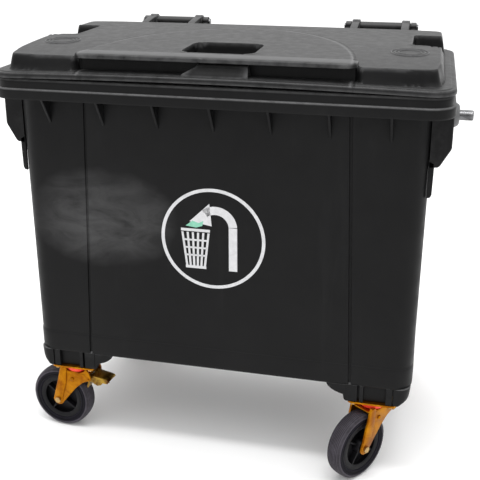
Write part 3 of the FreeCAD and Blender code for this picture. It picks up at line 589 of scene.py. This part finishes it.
def add_wings(form):
    """Long side wings under the rim, with sunken panels between flat ribs, and a thin rib under each end."""
    low, high = -303, 267
    marks = [low, low + 1, low + 3, low + 8]
    panels = [(-286, -196), (-182, -96), (56, 142), (158, 250)]
    for a, b in panels:
        marks += [a, a + 3, a + 6, b - 6, b - 3, b]
    marks += [high - 8, high - 3, high - 1, high]
    for side in (-1, 1):
        loops = []
        for y in stations(low, high, marks, 16):
            depth = 0.0
            for a, b in panels:
                depth = max(depth, 6.0 * smooth(a, a + 5, y) * smooth(b, b - 5, y))
            ends = max(0.0, 3 - (y - low), 3 - (high - y))
            loop = []
            for x, z in wing_profile(0):
                sunk = depth if 1000 < z < 1070 else 0.0
                loop.append((side * (x - (ends if x > 571 else 0) - sunk), y, z))
            loops.append(loop)
        form.rings(loops)
        for y in (-299, 263):
            points = [(568, 960), (583, 952), (581, 866), (577, 858), (568, 856)]
            form.prism([(side * x, z) for x, z in points], "Y", y - 4, y + 4, 1.6)
        for y in (-140, -18, 104):
            points = [(568, 950), (593, 950), (576, 900), (568, 896)]
            form.prism([(side * x, z) for x, z in points], "Y", y - 4, y + 4, 1.4)
        form.box((min(side * 619, side * 632), -46, 962), (max(side * 619, side * 632), 10, 982), 2.5)
        form.lathe([(side * 616, 46), (side * 622, 46), (side * 624, 43), (side * 624, 20), (side * 616, 20)],
                   "X", TRUNNION, 48)


def pod_outline(z, reach, mid, side, front, out, inner):
    """Plan of a pod at a height: ribs and hollows in front, a round outer corner, and plain inner sides."""
    steps = [(-73, 0), (-42, 0), (-41.4, 12), (-35.6, 12), (-35, 0), (-24.5, 0), (-23.5, 12), (38.5, 12),
             (39.5, 0), (56.5, 0), (57, 4), (60.4, 4), (61, 0)]
    r = clamp(reach - 72, 2, 32)
    points = [(min(x, reach - r - 2), deep) for x, deep in steps]
    points += [(reach - r + r * math.sin(math.radians(a)), r - r * math.cos(math.radians(a)))
               for a in range(0, 91, 15)]
    deepest = abs(inner - front)
    points += [(reach, deepest - 6), (reach - 6, deepest), (-73, deepest)]
    return [(mid + side * x, front - out * deep, z) for x, deep in points]


def add_pods(form):
    """Pods over the casters: ribs and hollows in front, a rounded outer flank and a knee inwards."""
    for row, front in ((FRONT_ROW, -329.6), (REAR_ROW, 252.6)):
        out = -1 if front < 0 else 1
        for side in (-1, 1):
            mid = CASTER_X * side
            inner = row - out * POD_INNER
            loops = []
            for z, reach in ((291, 106), (283, 105.5), (264, 103), (261, 102), (257, 100), (253, 98),
                             (247, 91), (244, 86), (241, 81), (239.4, 78.5), (238.4, 77), (237.4, 75.5),
                             (237, 74)):
                face = front - out * 2 * smooth(239, 237, z)
                loops.append(pod_outline(z, reach, mid, side, face, out, inner))
            form.rings(loops)
            knee = [(-72, 237), (-76, 238), (-79.5, 243), (-82, 257), (-94, 260), (-106, 264.5),
                    (-117, 271), (-126, 279), (-131, 289), (-72, 289)]
            y0, y1 = sorted((front - out * 1.0, inner + out * 1.0))
            form.prism([(mid + side * x, z) for x, z in knee], "Y", y0, y1, 1.6)


def add_brackets(form):
    """Upright brackets behind the rim that hold the ends of the two hinge rods."""
    profile = [(304, 1084), (322, 1084), (340, 1100), (364, 1142), (404, 1192)]
    profile += turned(HINGE_Y, HINGE_Z, 16, 16, range(-24, 190, 21))
    profile += [(356, 1168), (332, 1139), (304, 1139)]
    for middle in HANDLE_MIDDLES:
        for end in (-1, 1):
            x = middle + BRACKET_REACH * end
            form.prism(profile, "X", x - 9.6, x + 9.6, 2.4)
            form.lathe([(x - 10.2, 6.3), (x - 10.2, 11), (x + 10.2, 11), (x + 10.2, 6.3)],
                       "X", (0, HINGE_Y, HINGE_Z), 24)


make_tub()


# ---------------------------------------------------------------- lid

def arch(x, y):
    """1 inside the arched middle panel of the lid, falling to 0 over its soft edge."""
    f = (abs(x) / ARCH_HALF) ** ARCH_POWER + (max(0.0, y - ARCH_FRONT) / ARCH_DEEP) ** ARCH_POWER
    return smooth(-0.016, 0.010, 1 - f ** (1 / ARCH_POWER))


def lid_height(x, y, d):
    """Height of the lid's top at a point that is d inside its edge."""
    t = clamp((y + 338) / 628)
    climb = 1 - (1 - clamp((y + 338) / 330)) ** 2
    crown = -1.6 * (x / 600) ** 2
    plateau = 1204.5 + 13.8 * climb + crown
    middle = 1216.5 + 4.0 * t + crown
    top = mix(plateau, middle, arch(x, y))
    ledge = mix(1157.0, 1159.8, smooth(9.5, 13.5, d))
    inside = d - 9 * smooth(-250, -330, y) - 7 * smooth(480, 560, abs(x))
    rise = smooth(22.5, 37.0, inside) ** 0.75
    z = mix(ledge, top, rise)
    near = NOTCH_FRONT - 58 * clamp((abs(x) - 525) / 95) ** 2
    notch = box_distance(abs(x), y, NOTCH_INNER, 900, near, NOTCH_REAR, 18)
    z = mix(min(z, 1171.0), z, smooth(-5.0, 4.0, notch))
    lip = 1.6 * smooth(9.0, 3.0, abs(notch - 5)) * rise
    edge = mix(416, 374, clamp((y + 387) / 57))
    sides = smooth(edge + 3.5, edge - 3.5, abs(x))
    back = smooth(-325.5, -330.5, y)
    floor = mix(ledge, 1161.5, smooth(12, 30, d))
    z = mix(z + lip, floor, sides * back)
    low = smooth(1185, 1165, z)
    pocket = box_distance(x, y, -POCKET_HALF, POCKET_HALF, POCKET_FRONT, POCKET_REAR, 34)
    sunk = smooth(2.6, -2.8, pocket)
    rim = 1.6 * smooth(9.0, 3.0, abs(pocket - 4)) * (1 - sides * back)
    z = mix(z + rim, 1168 + 12 * smooth(-290, -140, y), sunk)
    return z + bowed(x, y) * low * (1 - sunk)


def bowed(x, y):
    """How far the lid's front edge bows up in its middle."""
    return 7.5 * max(0.0, 1 - (x / 590) ** 2) * smooth(-300, -352, y)


def make_lid():
    half, front, rear, r = LID_BOX
    near = [0.0]
    for place, reach in ((POCKET_HALF, (-36, -32, -28, -24, -20, -16, -12, -9, -6, -4, -2.5, -1.2, 0, 1.2,
                                        2.5, 4, 6, 9)),
                         (LIP_HALF, range(-26, 27, 3)),
                         (NOTCH_INNER, (-10, -7, -5, -3, -1.5, 0, 1.5, 3, 5, 8, 12, 18, 24))):
        near += [place + off for off in reach]
    xs = stations(-(half - r), half - r, [s * v for v in near for s in (-1, 1)], 8.5)
    marks = [NOTCH_FRONT + off for off in (-9, -6, -4, -2, 0, 2, 4, 6, 10, 15, 20)]
    marks += [NOTCH_REAR + off for off in (-20, -15, -10, -6, -4, -2, 0, 2, 4, 6, 9)]
    marks += [POCKET_REAR + off for off in (-35, -30, -26, -22, -18, -14, -10, -7, -5, -3, -1.5, 0, 1.5, 3,
                                            5, 8)]
    marks += [POCKET_FRONT + off for off in (0, 2, 4, 7, 10, 14, 18, 22, 26, 30, 35)]
    ys = stations(front + r, rear - r, marks, 8.5)
    skirt = [(0.8, 1142.8), (0.0, 1144.6), (0.0, 1150.5), (0.6, 1153.2), (1.9, 1155.4)]
    insets = (3.8, 6.4, 9, 10.5, 12, 13.5, 17, 21, 23.5, 25.5, 27.5, 29.5, 31.5, 33.5, 35.5, 37.5, 40, 43,
              46, 47.5, 49, 50.5, 52, 54, 57, 60, 63, 65.5)
    b = bmesh.new()

    def spot(x, y, d, z=None):
        """A point of the top, d inside the edge, or of the skirt where z is given."""
        if z is None:
            return (x, y, lid_height(x, y, d))
        return (x, y, z + bowed(x, y))

    inner = [[b.verts.new(spot(x, y, min(r + (half - r) - abs(x), y - front, rear - y))) for x in xs]
             for y in ys]
    rows = skirt + [(d, None) for d in insets]
    steps = 12
    loops = []
    for d, z in rows:
        loop = [b.verts.new(spot(x, front + d, d, z)) for x in xs]

        def arc(cx, cy, start):
            for i in range(1, steps):
                a = math.radians(start + 90 * i / steps)
                loop.append(b.verts.new(spot(cx + (r - d) * math.cos(a), cy + (r - d) * math.sin(a), d, z)))

        arc(half - r, front + r, -90)
        loop += [b.verts.new(spot(half - d, y, d, z)) for y in ys]
        arc(half - r, rear - r, 0)
        loop += [b.verts.new(spot(x, rear - d, d, z)) for x in reversed(xs)]
        arc(-half + r, rear - r, 90)
        loop += [b.verts.new(spot(-half + d, y, d, z)) for y in reversed(ys)]
        arc(-half + r, front + r, 180)
        loops.append(loop)
    border = list(inner[0]) + [inner[0][-1]] * (steps - 1) + [row[-1] for row in inner]
    border += [inner[-1][-1]] * (steps - 1) + list(reversed(inner[-1])) + [inner[-1][0]] * (steps - 1)
    border += [row[0] for row in reversed(inner)] + [inner[0][0]] * (steps - 1)
    loops.append(border)
    n = len(border)
    for one, two in zip(loops, loops[1:]):
        for i in range(n):
            j = (i + 1) % n
            corners = []
            for v in (one[i], one[j], two[j], two[i]):
                if v not in corners:
                    corners.append(v)
            if len(corners) > 2:
                b.faces.new(corners)
    for j in range(len(ys) - 1):
        for i in range(len(xs) - 1):
            b.faces.new((inner[j][i], inner[j][i + 1], inner[j + 1][i + 1], inner[j + 1][i]))
    bmesh.ops.recalc_face_normals(b, faces=b.faces)
    if sum(f.normal.z * f.calc_area() for f in b.faces) < 0:
        bmesh.ops.reverse_faces(b, faces=b.faces)
    b.normal_update()
    thick = 4.2
    under = {v: b.verts.new(v.co - v.normal * thick) for v in list(b.verts)}
    tops = list(b.faces)
    for f in tops:
        b.faces.new([under[v] for v in reversed(f.verts)])
    outer = loops[0]
    for i in range(len(outer)):
        a, c = outer[i], outer[(i + 1) % len(outer)]
        b.faces.new((c, a, under[a], under[c]))
    form = Form()
    form.take(b)
    add_lip(form)
    add_lugs(form)
    return form.piece("lid_skin", "lid", "lid_plastic", replaces=("lid",))


def add_lip(form):
    """The thick lip over the front recess, the sloped grip below it and the rings on both ends."""
    loops = []
    for x in stations(-378, 378, (-377, -374, -368, -358, -104, 104, 358, 368, 374, 377), 14):
        end = smooth(380, 352, abs(x))
        lift = 4.5 * clamp((-300 + 338) / 628) - 2.0 * (x / 600) ** 2
        high = 1217.2 + lift - 3 * (1 - end)
        low = 1203.5 + lift - 0.5 * (1 - end)
        face = mix(-352, -377, end)
        loops.append([(x, -314, high), (x, face + 9, high), (x, face + 4.6, high - 0.9),
                      (x, face + 1.6, high - 3), (x, face, high - 6.2), (x, face + 0.4, low + 2),
                      (x, face + 2, low), (x, -322, low - 2), (x, -314, low - 2)])
    form.rings(loops)
    grip_x = 14
    loops = []
    for y, z, left, right in ((-329, 1161, 89, 89), (-375, 1161, 89, 89), (-375.5, 1169, 89, 89),
                              (-374, 1172, 87, 88), (-364, 1189, 55, 87), (-361.5, 1193, 50, 86),
                              (-358, 1195.5, 48, 84), (-353, 1196.4, 48, 82), (-329, 1197, 48, 82)):
        loops.append([(grip_x + mix(-left, right, i / 12), y, z) for i in range(13)])
    form.strip(loops)
    for cx in (-500, 500):
        for radius in (50, 40, 30):
            loops = []
            for i in range(72):
                a = math.tau * i / 72
                ring = []
                for off, up in ((-2.6, -0.6), (-1.6, 1.4), (0, 2.2), (1.6, 1.4), (2.6, -0.6)):
                    x, y = cx + (radius + off) * math.cos(a), -154 + (radius + off) * math.sin(a)
                    ring.append((x, y, lid_height(x, y, 60) + up))
                loops.append(ring)
            loops.append(loops[0])
            form.rings(loops, False, False)


def add_lugs(form):
    """Arms from the rear of the lid, each ending in an eye round its bush."""
    arm = [(276, 1158), (306, 1156), (322, 1160), (352, 1174), (380, 1192), (384, 1200), (386, 1220),
           (382, 1227), (356, 1226), (300, 1220), (270, 1210)]
    for middle in HANDLE_MIDDLES:
        for end in (-1, 1):
            x = middle + LUG_REACH * end
            form.prism(arm, "X", x - 12.2, x + 12.2, 3.0, 3)
            eye = [(x - 13, 18.2), (x - 13, 20.4), (x - 11.4, 22), (x + 11.4, 22), (x + 13, 20.4),
                   (x + 13, 18.2)]
            form.lathe(eye, "X", (0, HINGE_Y, HINGE_Z), 32)


make_lid()


# ---------------------------------------------------------------- sign on the front

def stick(form, points, thick=0.7):
    """A flat shape, given in (X, Z) about the sign's centre, stuck on the front wall."""
    b = bmesh.new()
    loops = []
    for lift in (-0.3, thick):
        loops.append([b.verts.new((SIGN[0] + u, wall_front(SIGN[1] + v) - lift, SIGN[1] + v))
                      for u, v in points])
    n = len(points)
    b.faces.new(loops[0])
    b.faces.new(list(reversed(loops[1])))
    for i in range(n):
        b.faces.new((loops[0][i], loops[1][i], loops[1][(i + 1) % n], loops[0][(i + 1) % n]))
    form.take(b)


def band(form, centre, radius, wide, start, stop, count):
    """Part of a ring, as quads side by side."""
    for i in range(count):
        a, c = (math.radians(mix(start, stop, (i + k) / count)) for k in (0, 1))
        stick(form, [(centre[0] + rr * math.cos(t), centre[1] + rr * math.sin(t))
                     for rr, t in ((radius - wide, a), (radius, a), (radius, c), (radius - wide, c))])


def make_sign():
    """A round sign in place of the real one: a ring, a litter basket and a bent arrow into it."""
    form = Form()
    b = bmesh.new()
    count = 128
    rings = []
    for radius, lift in ((140.5, -0.3), (140.5, 0.7), (150, 0.7), (150, -0.3)):
        ring = []
        for i in range(count):
            a = math.tau * i / count
            z = SIGN[1] + radius * math.sin(a)
            ring.append(b.verts.new((SIGN[0] + radius * math.cos(a), wall_front(z) - lift, z)))
        rings.append(ring)
    for one, two in zip(rings, rings[1:] + rings[:1]):
        for i in range(count):
            b.faces.new((one[i], one[(i + 1) % count], two[(i + 1) % count], two[i]))
    form.take(b)
    stick(form, [(-92, 20), (-8, 20), (-8, 28), (-92, 28)])
    top, low, left, right = 17, -84, (-88, -76), (-12, -24)
    for k in range(6):
        t = k / 5
        a, c = mix(left[0], right[0], t), mix(left[1], right[1], t)
        stick(form, [(a - 3, top), (a + 3, top), (c + 3, low), (c - 3, low)])
    for v in (-6, -29, -52):
        t = (top - v) / (top - low)
        stick(form, [(mix(left[0], left[1], t), v - 2.5), (mix(right[0], right[1], t), v - 2.5),
                     (mix(right[0], right[1], t), v + 2.5), (mix(left[0], left[1], t), v + 2.5)])
    stick(form, [(-80, -84), (-20, -84), (-20, -92), (-80, -92)])
    bend, stop = (8, 36), 128
    band(form, bend, 62, 24, 4, stop, 22)
    stick(form, [(46, 38), (46, -92), (70, -92), (70, 38)])
    u, v = turned(*bend, 50, 50, (stop,))[0]
    stick(form, [(u + 14, v + 30), (u - 44, v - 26), (u + 20, v - 36)])
    form.piece("sign_print", "container", "tub_plastic", RING)
    leaf = Form()
    stick(leaf, [(-78, 36), (-58, 52), (-40, 46), (-26, 54), (-30, 38), (-48, 32)], 0.9)
    leaf.piece("sign_litter", "container", "tub_plastic", LEAF)


make_sign()


# ---------------------------------------------------------------- casters

def caster_place(name):
    """From a caster's own frame, its trail along +X, to the container's."""
    x, y, heading = CASTERS[name]
    return Matrix.Translation((x, y, 0)) @ Matrix.Rotation(math.radians(heading), 4, "Z")


def make_tyre(name, place):
    """Solid tyre: stepped side walls, rounded shoulders and a grooved tread with knocked edges."""
    form = Form(place)
    side = [(23.6, 90.5), (25, 84), (24.6, 82.2), (23.8, 81.2), (23.8, 78.6), (24.6, 77.6), (24.4, 75),
            (22.6, 72.4), (20, 72.1)]
    profile = [(-20, 93), (20, 93)] + side + [(0, 72.1)] + [(-y, r) for y, r in reversed(side)]
    form.lathe(profile, "Y", WHEEL_CENTRE, 96)
    form.piece("tyre_skin_" + name, "wheel_" + name, "tyre_rubber", sharp=50, replaces=("tyre_" + name,))
    crown = [(-24, 88.5), (-23.8, 91), (-22.6, 94), (-20.6, 96.4), (-18.4, 97.8)]
    for y in (-15, -10, -5, 0, 5, 10, 15):
        h = 100 - (abs(y) / 25) ** 2 * 4.2
        crown += [(y - 1.3, h), (y - 0.7, h - 1.5), (y + 0.7, h - 1.5), (y + 1.3, h)]
    crown += [(18.4, 97.8), (20.6, 96.4), (22.6, 94), (23.8, 91), (24, 88.5)]
    # The tread takes the lighter rubber: road wear and painted light.
    tread = Form(place)
    tread.lathe(crown + [(18, 90), (-18, 90)], "Y", WHEEL_CENTRE, 120)
    tread.piece("tread_skin_" + name, "wheel_" + name, "tyre_rubber", TREAD_LIT_AND_WORN, sharp=50)


def make_centre(name, place):
    """Moulded wheel centre: hub, thin web, rim with a lip, and ribs on both sides."""
    form = Form(place)
    side = [(22, 72), (22.6, 69), (22, 58.5), (20.5, 56.5), (18, 57.5), (5, 61), (3, 60), (3, 20), (6, 20),
            (26, 19), (28, 17.5), (28, 10.05)]
    rim = [(-y, radius) for y, radius in side] + side[::-1]
    form.lathe(rim, "Y", WHEEL_CENTRE, 72)
    hub = Matrix.Translation(WHEEL_CENTRE)
    for k in range(4):
        rib = Form(place @ hub @ Matrix.Rotation(math.radians(35 + 90 * k), 4, "Y").inverted())
        rib.box((16, -20, -2.4), (61, 20, 2.4), 1.0)
        form.join(rib.bm)
    form.piece("wheel_skin_" + name, "wheel_" + name, "wheel_plastic", sharp=35,
               replaces=("wheel_centre_" + name,))


def make_fork(name, place):
    """Pressed fork: crown, two tapering legs with ears round the race, a raised strip and rivets."""
    form = Form(place)
    crown = [(-50, -30), (-44, -36), (40, -36), (46, -30), (46, 30), (40, 36), (-44, 36), (-50, 30)]
    form.prism(crown, "Z", 203.6, 210, 2.2, 3)
    foot = turned(AXLE_X, AXLE_Z, 19, 18, range(-162, 1, 18))
    saddle = turned(0, 226, 39, -18.5, range(170, 9, -16))
    leg = [(49, 214), (46, 223), (41, 224)] + saddle[::-1]
    leg += [(-40, 224), (-44, 223), (-50, 216), (-57, 201), (-57, 190), (-48, 186), (-28, 176), (-2, 152)]
    leg += foot
    strip = [(49, 215), (45, 221), (29, 222), (25, 217), (29, 170), (45, 112)]
    strip += turned(AXLE_X, AXLE_Z, 15, 14, range(-150, -10, 20)) + [(77, 104)]
    for side in (-1, 1):
        a, b = sorted((side * 32, side * 36))
        form.prism(leg, "Y", a, b, 1.2, 2)
        a, b = sorted((side * 34, side * 39.2))
        form.prism(strip, "Y", a, b, 2.1, 3)
        form.lathe([(side * 35, 6.4), (side * 38.4, 6.2), (side * 40.2, 4.6), (side * 41, 2.0)],
                   "Y", (8, 0, 183), 20, closed=False)
        form.lathe([(side * 35, 14), (side * 38, 13.4), (side * 39.4, 11.6), (side * 39.4, 6.3),
                    (side * 35, 6.3)], "Y", WHEEL_CENTRE, 28)
    form.piece("fork_skin_" + name, "fork_" + name, "yellow_zinc", replaces=("fork_" + name,))


def make_ring(name, place):
    """Red dust ring: a bowl with a rolled lip between the plate and the crown."""
    form = Form(place)
    form.lathe([(210.3, 28.4), (210.3, 33), (211.6, 36.5), (215, 39.6), (220, 41.4), (226, 42), (230, 42),
                (231.2, 41), (231.2, 28.4)], "Z", (0, 0, 0), 56)
    form.piece("dust_ring_skin_" + name, "fork_" + name, "dust_ring_plastic", replaces=("dust_ring_" + name,))


def make_pedal(name, place):
    """Foot brake: two cheeks, a ribbed tread, a toothed edge, cross tubes, two prongs and a coil spring."""
    form = Form(place)
    cheek = [(-39.5, 181), (-38.5, 196), (-46, 201.5), (-60, 200), (-78, 197), (-98, 195), (-110, 192),
             (-113, 187), (-108, 181), (-92, 180), (-84, 172), (-72, 168), (-62, 172), (-56, 177), (-46, 177)]
    hole = turned(-48, 190, 4.4, 4.4, range(0, 360, 20))
    for side in (-1, 1):
        a, b = sorted((side * 19.5, side * 23))
        form.plate(cheek, hole, a, b)
    tread = [(-64, 198.5), (-64, 195.6), (-108, 190.6), (-112, 187), (-113.6, 188.4), (-109, 193.6),
             (-98, 196.4)]
    form.prism(tread, "Y", -21, 21, 0.9)
    for k in range(5):
        x = -71 - 8.5 * k
        form.box((x - 1.6, -19, 194.5 - 0.1 * k), (x + 1.6, 19, 199.2 - 1.1 * k), 0.9)
    for k in range(6):
        y = -17.5 + 7 * k
        form.prism([(-58 - 3 * (k % 2), 178), (-58, 172), (-62, 166 + 3 * (k % 2)), (-66, 172), (-66, 178)],
                   "Y", y - 2.2, y + 2.2, 0.6)
    form.lathe([(-19.8, 6.2), (-19.8, 7.8), (19.8, 7.8), (19.8, 6.2)], "Y", (-84, 0, 184), 20)
    form.lathe([(-22, 0.6), (-22, 3.4), (22, 3.4), (22, 0.6)], "Y", (-72, 0, 176), 16)
    for y, z, out in ((-16, 187, 8), (13, 181, 6)):
        form.lathe([(-104 - out, 0.3), (-104 - out, 1.3), (-92, 1.3), (-92, 0.3)], "X", (0, y, z), 10)
    turn, count = 14, 5 * 14
    wire = [Vector((-48 + 7.0 * math.cos(math.tau * k / turn), -15 + 30 * k / count,
                    190 + 7.0 * math.sin(math.tau * k / turn))) for k in range(count + 1)]
    for start, stop in zip(wire, wire[1:]):
        form.rod(start, stop, 1.1)
    form.piece("pedal_skin_" + name, "pedal_" + name, "yellow_zinc", BROWN,
               replaces=("brake_pedal_" + name,))


for caster in CASTERS:
    spot = caster_place(caster)
    make_tyre(caster, spot)
    make_centre(caster, spot)
    make_fork(caster, spot)
    make_ring(caster, spot)
    if caster.startswith("front"):
        make_pedal(caster, spot)


# ---------------------------------------------------------------- trunnion collars

for word, side in (("left", -1), ("right", 1)):
    collar = Form()
    collar.lathe([(side * 624.2, 14.3), (side * 624.2, 36), (side * 634, 36), (side * 642.5, 31),
                  (side * 645.2, 27), (side * 646, 24), (side * 646, 14.3)], "X", TRUNNION, 48)
    collar.piece("collar_skin_" + word, "container", "collar_plastic", replaces=("trunnion_collar_" + word,))


# ---------------------------------------------------------------- CAD nodes that stay

for name, node in NODES.items():
    slot = next(s["material_slot"] for s in frame["record"]["subparts"] if s["node"] == name)
    paint = BROWN if name.startswith("brake") else PAINTS[slot]
    if not node.material_slots:
        node.data.materials.append(paint)
    for holder in node.material_slots:
        holder.material = paint


# ---------------------------------------------------------------- stage, light and camera

def make_stage():
    """A plain pale floor."""
    p = Paint("floor_paint", 0.9, spec=0.1)
    cloud = p.noise(1.4, 3, 0.5)
    paint = p.finish(p.blend(p.span(cloud, 0.3, 0.7, 0.0, 1.0), (0.90, 0.90, 0.90), (0.93, 0.93, 0.93)))
    mesh = bpy.data.meshes.new("floor")
    bm = bmesh.new()
    bmesh.ops.create_grid(bm, x_segments=1, y_segments=1, size=30.0)
    bm.to_mesh(mesh)
    bm.free()
    mesh.materials.append(paint)
    floor = bpy.data.objects.new("floor", mesh)
    scene.collection.objects.link(floor)


def area(name, place, target, size, power):
    """A soft rectangular lamp at place, turned to target."""
    data = bpy.data.lights.new(name, "AREA")
    data.shape = "RECTANGLE"
    data.size, data.size_y = size
    data.energy = power
    obj = bpy.data.objects.new(name, data)
    obj.location = place
    obj.rotation_euler = (Vector(target) - Vector(place)).to_track_quat("-Z", "Y").to_euler()
    scene.collection.objects.link(obj)


make_stage()
world = bpy.data.worlds.new("studio")
world.use_nodes = True
sky = world.node_tree
coords = sky.nodes.new("ShaderNodeTexCoord")
height = sky.nodes.new("ShaderNodeSeparateXYZ")
sky.links.new(coords.outputs["Generated"], height.inputs[0])
shade = sky.nodes.new("ShaderNodeValToRGB")
for element, (place, value) in zip(shade.color_ramp.elements, ((0.0, 0.62), (0.8, 1.55))):
    element.position = place
    element.color = (value, value, value, 1)
sky.links.new(height.outputs[2], shade.inputs["Fac"])
sky.links.new(shade.outputs["Color"], sky.nodes["Background"].inputs["Color"])
scene.world = world
scene.view_settings.view_transform = "Standard"
area("top", (0.2, 0.4, 4.2), (0, 0.1, 1.0), (4.5, 3.5), 40)
area("strip", (0.0, -1.1, 3.9), (0, -0.3, 1.1), (2.6, 0.5), 55)

camera = bpy.data.cameras.new("camera")
camera.sensor_width = 36
camera.lens = 62.7
camera.shift_y = -13 / 96                   # a share of the picture's side
camera.clip_end = 100
eye = bpy.data.objects.new("camera", camera)
eye.location = (0.555, -2.434, 1.577)
eye.rotation_euler = (math.radians(90 - 17.55), 0, math.radians(12.91))
scene.collection.objects.link(eye)
scene.camera = eye
